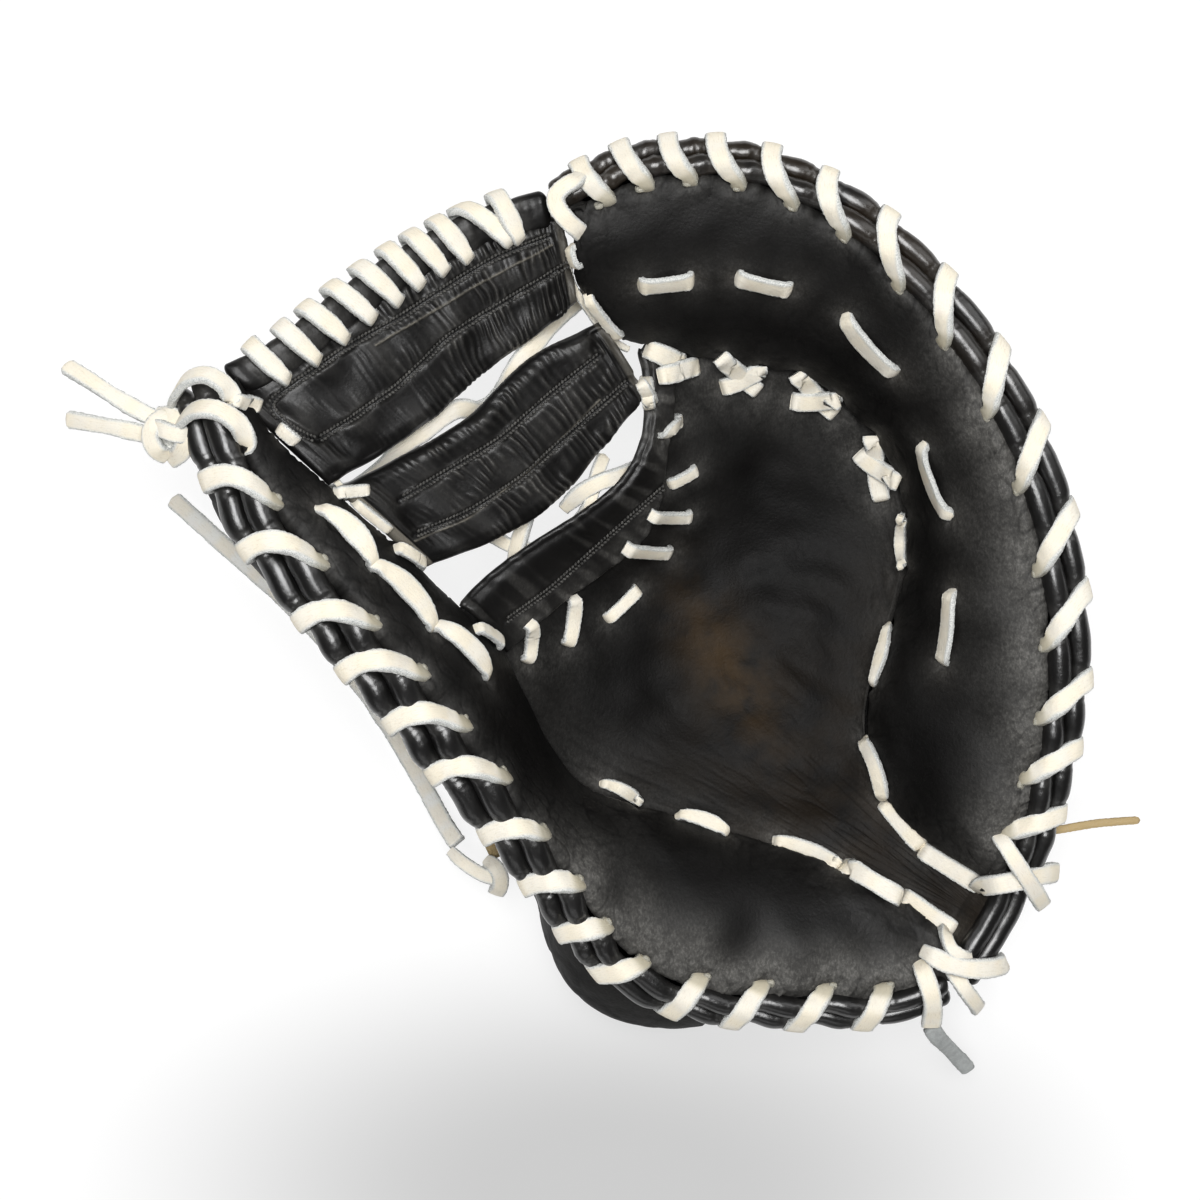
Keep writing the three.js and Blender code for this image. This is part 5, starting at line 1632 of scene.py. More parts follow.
class Graph:
    """A material's nodes."""

    def __init__(self, name: str):
        """Makes the material with its output and shader."""
        self.material = bpy.data.materials.new(name)
        self.material.use_nodes = True
        self.tree = self.material.node_tree
        self.tree.nodes.clear()
        self.shader = self.tree.nodes.new("ShaderNodeBsdfPrincipled")
        output = self.tree.nodes.new("ShaderNodeOutputMaterial")
        self.tree.links.new(self.shader.outputs[0], output.inputs[0])

    def feed(self, socket: bpy.types.NodeSocket, value: Any) -> None:
        """Links a wire to a socket, or sets the socket's value."""
        if isinstance(value, Wire):
            self.tree.links.new(value.socket, socket)
        else:
            socket.default_value = value

    def wire(self, kind: str, inputs: dict[Any, Any], output: Any = 0, **settings: Any) -> Wire:
        """Makes a node.

        Args:
            kind: its type.
            inputs: values or wires for its sockets, by number or name.
            output: which of its outputs is wanted.
            settings: its properties, set first.

        Returns:
            That output.
        """
        node = self.tree.nodes.new(kind)
        for name, value in settings.items():
            setattr(node, name, value)
        for name, value in inputs.items():
            self.feed(node.inputs[name], value)
        return Wire(self, node.outputs[output])

    def place(self) -> Wire:
        """Object coordinates."""
        return self.wire("ShaderNodeTexCoord", {}, "Object")

    def strip(self) -> Wire:
        """The piece's own texture places."""
        return self.wire("ShaderNodeTexCoord", {}, "UV")

    def mark(self, name: str) -> Wire:
        """A named value of the piece's points."""
        return self.wire("ShaderNodeAttribute", {}, "Fac", attribute_name=name)

    def stretch(self, where: Wire, scale: tuple[float, float, float]) -> Wire:
        """Coordinates multiplied axis by axis."""
        return self.wire("ShaderNodeVectorMath", {0: where, 1: scale}, operation="MULTIPLY")

    def noise(self, where: Wire, size: float, detail: float = 4.0, rough: float = 0.55) -> Wire:
        """Noise with blots of about that size, in millimetres."""
        inputs = {"Vector": where, "Scale": 1 / (size * MM), "Detail": detail, "Roughness": rough}
        return self.wire("ShaderNodeTexNoise", inputs)

    def cells(self, where: Wire, size: float) -> Wire:
        """Distance from the middle of pebbles of about that size, in millimetres."""
        inputs = {"Vector": where, "Scale": 1 / (size * MM), "Smoothness": 0.4}
        return self.wire("ShaderNodeTexVoronoi", inputs, "Distance", feature="SMOOTH_F1")

    def blend(self, share: Wire, a: Any, b: Any) -> Wire:
        """The colour so far on the way from a to b."""
        return self.wire("ShaderNodeMix", {0: share, 6: a, 7: b}, 2, data_type="RGBA")

    def relief(self, height: Wire, deep: float, under: Wire | None = None) -> Wire:
        """A normal bumped by a height of so many millimetres."""
        inputs = {"Height": height, "Distance": deep * MM, "Strength": 1.0}
        if under is not None:
            inputs["Normal"] = under
        return self.wire("ShaderNodeBump", inputs)

    def finish(self, colour: Any, roughness: Any, normal: Wire, **fixed: Any) -> Material:
        """Feeds the shader.

        Args:
            colour: its base colour.
            roughness: its roughness.
            normal: its normal.
            fixed: values of other sockets, with underscores for spaces.

        Returns:
            The material.
        """
        self.feed(self.shader.inputs["Base Color"], colour)
        self.feed(self.shader.inputs["Roughness"], roughness)
        self.feed(self.shader.inputs["Normal"], normal)
        for name, value in fixed.items():
            self.shader.inputs[name.replace("_", " ")].default_value = value
        return self.material


Colour = tuple[float, float, float, float]


class Tone(Enum):
    """Linear colours of the mitt's finishes."""

    BLACK: Colour = (0.0068, 0.0062, 0.0060, 1)
    # DEEP: darker blots in the leather, and painted shade in creases.
    DEEP: Colour = (0.0035, 0.0033, 0.0032, 1)
    # GREY: scuffs and the painted sheen on the black leather.
    GREY: Colour = (0.190, 0.185, 0.174, 1)
    # ASH_AND_SHADE: the heel's loose end, grey partly for its rough flesh side and partly as painted shade.
    ASH_AND_SHADE: Colour = (0.36, 0.37, 0.37, 1)
    # BROWN: brown wear, and the painted warm reflection on the rolls.
    BROWN: Colour = (0.062, 0.037, 0.014, 1)
    CREAM: Colour = (0.87, 0.81, 0.68, 1)
    BONE: Colour = (0.86, 0.82, 0.73, 1)
    FLESH: Colour = (0.52, 0.54, 0.53, 1)
    CHALK: Colour = (0.85, 0.85, 0.82, 1)
    ROSE: Colour = (0.80, 0.66, 0.57, 1)
    # CREST: scuffs and painted highlights on the web's leather, and the thread's second tone.
    CREST: Colour = (0.16, 0.155, 0.145, 1)
    EDGE: Colour = (0.20, 0.185, 0.155, 1)
    TAN: Colour = (0.52, 0.40, 0.22, 1)
    KHAKI: Colour = (0.13, 0.115, 0.075, 1)
    OLIVE: Colour = (0.30, 0.27, 0.18, 1)
    THREAD: Colour = (0.016, 0.016, 0.016, 1)


@dataclass(frozen=True)
class Leather:
    """Black leather with a fine grain, scuffed grey at its edges and brown where it is worn, with a painted
    grey sheen, a painted warm reflection and painted shade in its creases.
    """

    name: str
    roughness: float = 0.52
    grain: float = 0.07
    shine: float = 0.3
    coat: float = 0.0
    coat_roughness: float = 0.4
    scuff_and_sheen_tone: Tone = Tone.GREY

    def material(self) -> Material:
        """Grain from cells and noise; colour from blots and the piece's marks: scuffs with painted sheen,
        brown wear with painted warm reflection, and painted shade in creases.
        """
        g = Graph(self.name)
        where = g.place()
        pebbles = g.cells(where, 1.0)
        fine = g.noise(where, 0.45, 2.0)
        lines = g.noise(g.stretch(where, (1.0, 0.6, 1.0)), 0.8, 3.0, 0.65)
        pores = g.noise(where, 2.2, 5.0, 0.6)
        blots = g.noise(where, 17, 4.0)
        wide = g.noise(where, 46, 3.0)
        scuff, warm, crease, raw = g.mark("scuff"), g.mark("warm"), g.mark("crease"), g.mark("raw")
        colour = g.blend(blots.ramp(0.35, 0.75), Tone.BLACK.value, Tone.DEEP.value)
        speckle = 0.55 + 0.25 * pores.ramp(0.3, 0.7) + 0.3 * lines.ramp(0.42, 0.68)
        rub_and_sheen = (scuff * speckle + 0.05 * wide.ramp(0.45, 0.8)).clip()
        # Scuffs and painted sheen pale it towards the grey tone.
        colour = g.blend((rub_and_sheen * rub_and_sheen * 0.5 + rub_and_sheen * 0.35).clip(), colour, self.scuff_and_sheen_tone.value)
        # Brown wear, and on the rolls a painted warm reflection.
        colour = g.blend((warm * blots.ramp(0.3, 0.62) * 0.8).clip(), colour, Tone.BROWN.value)
        # Painted shade darkens the creases.
        colour = g.blend((crease * 0.7).clip(), colour, Tone.DEEP.value)
        colour = g.blend((raw * (0.5 + fine)).clip(), colour, Tone.EDGE.value)
        rough = self.roughness + 0.16 * (pores - 0.5) + 0.10 * scuff + 0.12 * (wide - 0.5) + 0.2 * raw
        coarse = g.relief(pebbles * 0.7 + fine * 0.4 + lines * 0.8, self.grain)
        normal = g.relief(pores * 0.6 + blots * 0.4, self.grain * 3.2, coarse)
        return g.finish(
            colour, rough, normal, Specular_IOR_Level=self.shine, Coat_Weight=self.coat,
            Coat_Roughness=self.coat_roughness,
        )


@dataclass(frozen=True)
class Rawhide:
    """Cream lace: a smooth waxed face with fine lines, and fuzzy whitish edges."""

    name: str
    face: Tone = Tone.CREAM
    back: Tone = Tone.CHALK
    other: Tone = Tone.BONE
    fibres: Tone = Tone.FLESH  # between the back's whiter ones

    def material(self) -> Material:
        """Lines run along the strip; the flesh mark says where it is rough."""
        g = Graph(self.name)
        where, strip = g.place(), g.strip()
        fibre = g.noise(g.stretch(strip, (0.22, 1.0, 1.0)), 0.55, 3.0, 0.6)
        fluff = g.noise(where, 0.45, 4.0, 0.75)
        blots = g.noise(where, 5, 3.0)
        flesh, tint = g.mark("flesh"), g.mark("tint")
        face = g.blend(tint.ramp(-0.7, 0.9), self.face.value, self.other.value)
        face = g.blend((blots.ramp(0.55, 0.8) * 0.14).clip(), face, Tone.ROSE.value)
        face = g.blend((fibre.ramp(0.52, 0.78) * 0.3).clip(), face, Tone.TAN.value)
        face = g.blend((fluff.ramp(0.5, 0.7) * 0.28).clip(), face, Tone.FLESH.value)
        edge = g.blend(fluff.ramp(0.36, 0.6), self.fibres.value, self.back.value)
        edge = g.blend((fluff.ramp(0.6, 0.75) * 0.3).clip(), edge, Tone.KHAKI.value)
        colour = g.blend(flesh, face, edge)
        colour = g.blend((g.mark("soil") * 0.6).clip(), colour, Tone.OLIVE.value)
        coarse = g.relief(fluff * (0.4 + 0.7 * flesh) + fibre * 0.35, 0.34)
        normal = g.relief(blots, 0.3, coarse)
        return g.finish(colour, 0.56 + 0.3 * flesh, normal, Specular_IOR_Level=0.35)


@dataclass(frozen=True)
class Plain:
    """A rough finish of one tone with blots and a grain, as for thread, raw edges and felt."""

    name: str
    tone: Tone
    other: Tone
    size: float = 0.6
    roughness: float = 0.8

    def material(self) -> Material:
        """Two tones mixed by noise, and a bump of the same noise."""
        g = Graph(self.name)
        where = g.place()
        grain = g.noise(where, self.size, 4.0, 0.7)
        blots = g.noise(where, self.size * 7, 3.0)
        colour = g.blend((grain * 0.6 + blots * 0.5).ramp(0.35, 0.75), self.tone.value, self.other.value)
        return g.finish(colour, self.roughness + 0.1 * grain, g.relief(grain, 0.25))


# Stage


@dataclass(frozen=True)
class Studio:
    """The pale floor and the soft lights round it."""

    floor: float = 6.0
    drop: float = 0.0006  # how far the floor lies below the mitt
    # Where the floor's painted shadow is centred and how wide it is, in metres.
    shade_at: tuple[float, float] = (-0.016, -0.2178)
    shade_size: tuple[float, float] = (0.155, 0.075)
    world: float = 0.12
    glow: float = 0.82  # what the floor gives of itself, as lit paper does

    def build_floor(self) -> None:
        """A wide pale sheet, with a soft painted shadow below the mitt's heel."""
        g = Graph("floor_paper")
        where = g.place()
        # Painted shadow: colour and glow darken towards a point below the heel, in an ellipse of the given
        # size.
        centre = g.wire("ShaderNodeVectorMath", {0: where, 1: (*self.shade_at, 0)}, operation="SUBTRACT")
        far = g.stretch(centre, (1 / self.shade_size[0], 1 / self.shade_size[1], 1))
        shade = 1 - g.wire("ShaderNodeVectorMath", {0: far}, "Value", operation="LENGTH").ramp(0.25, 1.5)
        colour = g.blend(shade * 0.75, (0.2, 0.2, 0.2, 1), (0.1, 0.1, 0.1, 1))
        g.feed(g.shader.inputs["Emission Color"], g.blend(shade * 0.75, (1, 1, 1, 1), (0.5, 0.5, 0.5, 1)))
        rest = dict(Emission_Strength=self.glow, Specular_IOR_Level=0.1)
        g.finish(colour, 0.9, g.relief(g.noise(where, 3.0), 0.01), **rest)
        h = self.floor / 2
        mesh = bpy.data.meshes.new("floor")
        mesh.from_pydata([(-h, -h, 0), (h, -h, 0), (h, h, 0), (-h, h, 0)], [], [(0, 1, 2, 3)])
        mesh.materials.append(g.material)
        floor = bpy.data.objects.new("floor", mesh)
        floor.location.z = -self.drop
        bpy.context.scene.collection.objects.link(floor)

    def lamp(self, name: str, place: Sequence[float], size: Sequence[float], power: float) -> None:
        """A soft area light that looks at the mitt.

        Args:
            name: its name.
            place: where it stands, in metres.
            size: its two sides, in metres.
            power: in watts.
        """
        data = bpy.data.lights.new(name, "AREA")
        data.shape = "RECTANGLE"
        data.size, data.size_y = size
        data.energy = power
        lamp = bpy.data.objects.new(name, data)
        lamp.location = place
        lamp.rotation_euler = Vector(place).to_track_quat("Z", "Y").to_euler()
        bpy.context.scene.collection.objects.link(lamp)

    def build(self) -> None:
        """Makes the floor, the lights and the even light from all around."""
        self.build_floor()
        world = bpy.data.worlds.new("studio")
        world.use_nodes = True
        background = world.node_tree.nodes["Background"]
        background.inputs["Color"].default_value = (1, 1, 1, 1)
        background.inputs["Strength"].default_value = self.world
        bpy.context.scene.world = world
        self.lamp("top", (0.0, 0.1, 1.35), (0.7, 0.7), 18.0)
        self.lamp("key", (0.8, 0.5, 0.8), (0.45, 0.8), 2.2)
        self.lamp("fill", (-0.85, 0.5, 0.7), (0.4, 0.8), 1.6)
        self.lamp("low", (-0.1, -1.0, 0.6), (0.9, 0.3), 1.0)
        view = bpy.context.scene.view_settings
        view.gamma = 0.86
        view.view_transform = "Standard"
        view.look = "None"


# The mitt's finishes and sub-assemblies


@dataclass(frozen=True)
class Finishes:
    """The mitt's materials."""

    black: Material = field(default_factory=Leather("black_leather").material)
    palm: Material = field(default_factory=Leather("palm_leather", 0.56, 0.08, 0.2).material)
    web: Material = field(default_factory=Leather("web_leather", 0.40, 0.035, 0.5, scuff_and_sheen_tone=Tone.CREST).material)
    glossy: Material = field(default_factory=Leather("roll_leather", 0.34, 0.06, 0.7, 0.7, 0.26).material)
    shell: Material = field(default_factory=Leather("shell_leather", 0.5, 0.07, 0.15).material)
    rawhide: Material = field(default_factory=Rawhide("rawhide").material)
    # A grey rawhide for the heel's loose end, partly its rough flesh side and partly painted shade.
    grey_and_shaded: Material = field(default_factory=Plain("grey_rawhide", Tone.ASH_AND_SHADE, Tone.FLESH, 0.35, 0.95).material)
    chalk: Material = field(
        default_factory=Rawhide("rough_rawhide", Tone.BONE, Tone.CHALK, Tone.CHALK).material
    )
    tan: Material = field(
        default_factory=Rawhide("tan_leather", Tone.TAN, Tone.TAN, Tone.TAN, Tone.TAN).material
    )
    thread: Material = field(default_factory=Plain("thread", Tone.THREAD, Tone.CREST, 0.3, 0.38).material)
    felt: Material = field(default_factory=Plain("felt", Tone.KHAKI, Tone.TAN, 0.5, 0.95).material)


@dataclass(frozen=True)
class LooseEnd:
    """A lace's free end, along given points."""

    name: str
    node: str
    route: list[list[float]]
    strand: Strand
    slot: str = "rawhide"
    roll: float = 0.0  # how far its face leans over, in radians

    def build(self, material: Material) -> None:
        count = max(int(lengths(np.array(self.route, float))[-1] / 0.7), 40)
        path = rounded(np.array(self.route, float) - MIDDLE, count)
        run = unit(np.gradient(path, axis=0))
        side = unit(np.cross(run, UP))
        lean = self.roll * np.linspace(0.3, 1, count)[:, None]
        face = np.cross(side, run) * np.cos(lean) + side * np.sin(lean)
        work = Meshwork(self.name)
        self.strand.sweep(work, path, face, len(self.name), tip=1.6)
        piece = settle(work.build(), material, self.slot, self.node)
        float(lengths(path)[-1] * MM)
        self.strand.width * MM


@dataclass(frozen=True)
class LooseEnds:
    """All free lace ends."""

    flat: Strand = Strand(width=TAIL_WIDE, thick=TAIL_THICK, fuzz=0.13)
    long: Strand = Strand(width=6.2, thick=2.5, fuzz=0.16)
    thin: Strand = Strand(width=2.8, thick=2.0, fuzz=0.08, sides=12)

    def build(self, finishes: Finishes) -> None:
        """Makes the five ends."""
        for end in (
            LooseEnd("tip_end_upper", "thumb_tip_tail_upper", TIP_TAIL_UPPER, self.flat, roll=0.5),
            LooseEnd("tip_end_lower", "thumb_tip_tail_lower", TIP_TAIL_LOWER, self.flat, roll=-0.3),
        ):
            end.build(finishes.rawhide)
        LooseEnd("strap_end", "strap_tail", STRAP_TAIL, self.long).build(finishes.chalk)
        # The heel's loose end has the grey rawhide, whose grey is partly painted shade.
        LooseEnd("heel_end", "heel_tail", HEEL_TAIL, self.flat, roll=0.2).build(finishes.grey_and_shaded)
        LooseEnd("finger_side_end", "finger_tail", FINGER_TAIL, self.thin, "tan_leather").build(finishes.tan)


FINGER_WHIP = Whip(
    FINGER, FINGER_WHIPS, 16.0, 1000, Strand(width=6.9, thick=2.8), lean=(-0.6, -0.5),
    quick=((0, 6, 9), (3.2, 3.2, 1.4)),
)
THUMB_WHIP = Whip(
    THUMB, THUMB_WHIPS, 13.9, 2000, Strand(width=7.3, thick=2.8), lean=(0.4, 0.4),
    quick=((0, 10, 13), (3.6, 3.2, 1.4)), narrow=0.12,
)
FINGER_BANDS = (
    Band(
        (
            (587, 238, 84), (578, 230, 91.5), (567, 220, 95), (558, 208, 96.5), (556, 197, 97),
            (563, 188, 97.5), (574, 181, 96.5), (584, 174, 90),
        ),
        (-0.3, 0.1, 1), 6.0,
    ),
    Band(
        (
            (976, 887, 45), (983, 886, 52), (1000, 884, 58), (1026, 879, 57), (1046, 874, 51.5),
            (1056, 872, 44),
        ),
    ),
    Band(
        (
            (997, 832, 53), (1001, 839, 60.5), (1011, 854, 63.5), (1025, 876, 61), (1036, 893, 55),
            (1043, 905, 46),
        ),
        width=6.0,
    ),
)
THUMB_BANDS = (
    Band(
        (
            (238, 416, 106), (234, 402, 112.5), (224, 385, 116.5), (206, 375, 117.5), (188, 379, 115),
            (178, 392, 109.5), (176, 406, 102),
        ),
        (-0.25, 0.7, 0.7), 6.6,
    ),
    Band(
        (
            (251, 458, 104), (248, 444, 110), (237, 423, 115.5), (216, 410, 117), (196, 410, 115),
            (183, 420, 109.5), (177, 432, 102),
        ),
        (-0.2, 0.6, 0.8), 6.8,
    ),
    Band(
        ((943, 929, 46), (946, 936, 51), (951, 948, 53.5), (962, 956, 53), (972, 958, 49)), (0.3, 0, 1), 4.6,
    ),
    Band(
        ((946, 960, 45), (956, 976, 50), (966, 991, 50), (975, 1003, 44), (978, 1008, 38)), (0.2, 0, 1), 5.8,
    ),
)


@dataclass
class Side:
    """A half: its padded panel, its back, its two rolls and the lace whipped over them."""

    name: str
    half: Half
    whip: Whip
    back_end: float
    start: float  # where its rolls begin, in rows
    first: float  # where its panel begins
    seed: int
    bands: tuple[Band, ...]
    swell: float = 0.0  # how much further its back bulges near the tip
    rub_and_sheen: tuple[float, float, float] = (0, 0, 0)  # as the panel has it
    twist: float = 0.0
    beyond: float = 0.0  # how much further its rolls run, in rows
    corner: float = 0.0  # how much further its back bulges at row 12.6
    web_end: float = 3.3
    panel: Panel = field(init=False)

    def __post_init__(self) -> None:
        """Prepares the panel."""
        stop = self.half.end + 0.3
        self.panel = Panel(
            f"{self.name}_pad", self.half, self.whip, self.seed, self.first, stop, self.rub_and_sheen, self.web_end
        )

    def build(self, finishes: Finishes, sewn: Array) -> None:
        """Makes the half's leather.

        Args:
            finishes: the materials.
            sewn: the ends of the stitches on the panel.
        """
        pad = settle(self.panel.build(sewn), finishes.black, "black_leather", f"{self.name}_panel")
        shell = Back(
            f"{self.name}_shell", self.half, self.back_end, self.seed + 20, self.swell, self.corner
        )
        settle(shell.build(), finishes.shell, "black_leather", f"{self.name}_back")
        for which, place, share in ((1, "front", 0.3), (2, "back", 0.75)):
            roll = Roll(
                f"{self.name}_{place}_binding", self.half, which, self.start, self.half.end + self.beyond,
                np.r_[self.start + 0.1, self.whip.crossings(share)], self.seed + 30 + which, self.twist,
            )
            settle(roll.build(), finishes.glossy, "roll_leather", f"{self.name}_{place}_roll")

    def lace(self, finishes: Finishes) -> None:
        """Makes the whipped lace."""
        lace = self.whip.build(f"{self.name}_whipping", self.bands)
        settle(lace, finishes.rawhide, "rawhide", f"{self.name}_rim_lace")


@dataclass(frozen=True)
class Heel:
    """The corner by the heel: two short rolls, and the laces over and beside them."""

    strand: Strand = Strand(width=6.8, thick=2.6)

    def strip(self, name: str, route: Sequence[Sequence[float]], seed: int) -> Piece:
        """A lace along given points, its face up."""
        path = rounded(np.array(route, float) - MIDDLE, BAND_STEPS)
        face = np.broadcast_to(UP, path.shape)
        work = Meshwork(name)
        squeeze = 1 - 0.25 * bell(steps(BAND_STEPS), 0.12)
        self.strand.sweep(work, path, face, seed, squeeze)
        return work.build()

    def build(self, finishes: Finishes) -> None:
        """Makes the rolls and the two laces."""
        for which, place in ((1, "front"), (2, "back")):
            roll = Roll(
                f"heel_{place}_binding", HEEL, which, -0.3, 4.5, np.array([]), 90 + which, count=160
            )
            settle(roll.build(), finishes.glossy, "roll_leather", f"heel_{place}_roll")
        over = self.strip("heel_over_lace", HEEL_LACE, 95)
        settle(over, finishes.rawhide, "rawhide", "heel_lace")
        corner = self.strip("heel_down_lace", HEEL_CORNER_LACE, 96)
        settle(corner, finishes.rawhide, "rawhide", "heel_corner_lace")


# Laces that lie on the leather, by the pixels of their ends
PANEL_STITCHES = (
    Stitch((640, 286), (693, 280), 6.8), Stitch((737, 278), (791, 290), 6.8),
    Stitch((845, 317), (896, 374), 8.0, bow=-3, leaf=0.6),
    Stitch((922, 444), (949, 517), 7.8, bow=-4, leaf=0.85),
    Stitch((950, 591), (942, 664), 6.8, bow=3, leaf=0.4),
)
THUMB_STITCHES = (
    Stitch((320, 508), (374, 565), 7.6, bow=4, lift=1.2, leaf=1, tilt=0.4),
    Stitch((373, 563), (434, 629), 7.8, bow=4, lift=1.2, leaf=1, tilt=0.4),
    Stitch((434, 624), (489, 677), 7.2, bow=4, lift=1.1, leaf=1, tilt=0.4),
)
FINGER_SEAM = (
    Stitch((648, 350), (682, 364)), Stitch((660, 377), (698, 366), lift=1.6), Stitch((720, 358), (758, 392)),
    Stitch((723, 388), (761, 370), lift=1.6), Stitch((796, 374), (835, 415)),
    Stitch((792, 402), (839, 400), lift=1.6), Stitch((872, 436), (881, 501)),
    Stitch((858, 454), (899, 483), lift=1.6), Stitch((901, 514), (901, 570), 4.4, leaf=0.85),
    Stitch((888, 625), (872, 684), 5.0, bow=2, leaf=0.9),
    Stitch((863, 739), (883, 799), 5.8, bow=3, leaf=0.35), Stitch((884, 802), (921, 846)),
    Stitch((922, 850), (981, 886)),
)
THUMB_SEAM = (
    Stitch((602, 783), (641, 803), 5.0, bow=3, leaf=0.7),
    Stitch((679, 815), (727, 832), 5.6, bow=3, leaf=0.8),
    Stitch((774, 841), (840, 866), 5.8, bow=4, leaf=0.3), Stitch((842, 864), (901, 898)),
    Stitch((903, 896), (954, 931)),
)
POCKET_STITCHES = (
    Stitch((532, 624), (528, 661), 5.0), Stitch((575, 598), (568, 645), 5.4),
    Stitch((638, 589), (607, 619), 5.0), Stitch((627, 550), (671, 553), 5.4),
    Stitch((652, 517), (691, 517), 5.0), Stitch((670, 484), (696, 470), 4.6),
    Stitch((664, 436), (679, 420), 4.6), Stitch((641, 384), (653, 402), 4.4),
)
WEB_END_STITCHES = (
    Stitch((237, 401), (260, 406), 5.0), Stitch((280, 428), (296, 441), 4.6),
    Stitch((338, 493), (368, 490), 4.4), Stitch((356, 503), (390, 530), 3.6),
    Stitch((398, 548), (424, 565), 4.4), Stitch((478, 628), (502, 644), 4.4),
    Stitch((571, 248), (577, 266), 4.0), Stitch((588, 298), (620, 338), 4.0),
    Stitch((646, 379), (649, 408), 4.6),
)
GAP_UPPER = (
    Band(
        (
            (300, 488, 68), (345, 492, 66), (380, 471, 66), (403, 446, 69), (430, 427, 69), (457, 409, 67),
            (480, 410, 61), (498, 398, 61), (512, 374, 66), (523, 357, 67), (537, 342, 65), (553, 322, 60),
            (575, 303, 57), (592, 292, 56),
        ),
        (0.1, -0.3, 1), 6.4,
    ),
)
GAP_LOWER = (
    Band(
        (
            (430, 540, 50), (470, 528, 48), (492, 536, 51), (512, 546, 52), (534, 549, 51), (548, 552, 46),
            (566, 540, 43), (580, 520, 46), (589, 506, 50), (593, 490, 51), (597, 474, 49), (604, 455, 44),
        ),
        (0.1, -0.2, 1), 4.8,
    ),
    Band(
        ((511, 592, 45), (514, 572, 50), (517, 548, 53.5), (525, 522, 52), (531, 500, 45)), (-0.5, 0.1, 1),
        5.8,
    ),
    Band(
        ((564, 508, 47), (582, 492, 52), (600, 482, 53), (618, 476, 50), (634, 469, 44)), (0.1, -0.3, 1),
        5.8,
    ),
)
TOP_SEAMS = (
    Seam(
        (
            (318, 440), (300, 435), (264, 404), (300, 380), (350, 345), (400, 318), (450, 285), (500, 255),
            (552, 236),
        ),
    ),
    Seam(((318, 440), (350, 420), (400, 385), (450, 335), (500, 305), (550, 275), (572, 262))),
)
MIDDLE_SEAMS = (
    Seam(((400, 500), (450, 470), (500, 440), (550, 395), (600, 355))),
    Seam(((415, 535), (470, 512), (520, 480), (580, 425), (630, 380))),
)
TOP_EDGES = (Seam(((375, 345), (420, 319), (480, 283), (552, 245))),)
MIDDLE_EDGES = (Seam(((415, 541), (470, 518), (530, 470), (600, 400))),)
BASE_SEAM = Seam(((505, 622), (550, 590), (600, 545), (650, 500), (666, 486)))
WEB_WHIPS = (
    ((285, 377), (248, 343)), ((315, 357), (278, 325)), ((345, 337), (303, 307)), ((372, 317), (328, 287)),
    ((398, 300), (357, 268)), ((420, 283), (384, 249)), ((443, 268), (407, 233)), ((466, 253), (432, 219)),
    ((508, 231), (457, 212)), ((515, 225), (494, 192)),
)


def ends_of(stitches: Sequence[Stitch], carrier: Carrier) -> Array:
    """The places of the stitches' ends, as (count, 3)."""
    return carrier.find(np.array([end for s in stitches for end in (s.start, s.end)], float))[0]


def seam_points(seams: Sequence[Seam], carrier: Carrier) -> list[Array]:
    """Each seam's points on the leather."""
    return [seam.line(carrier)[0] for seam in seams]


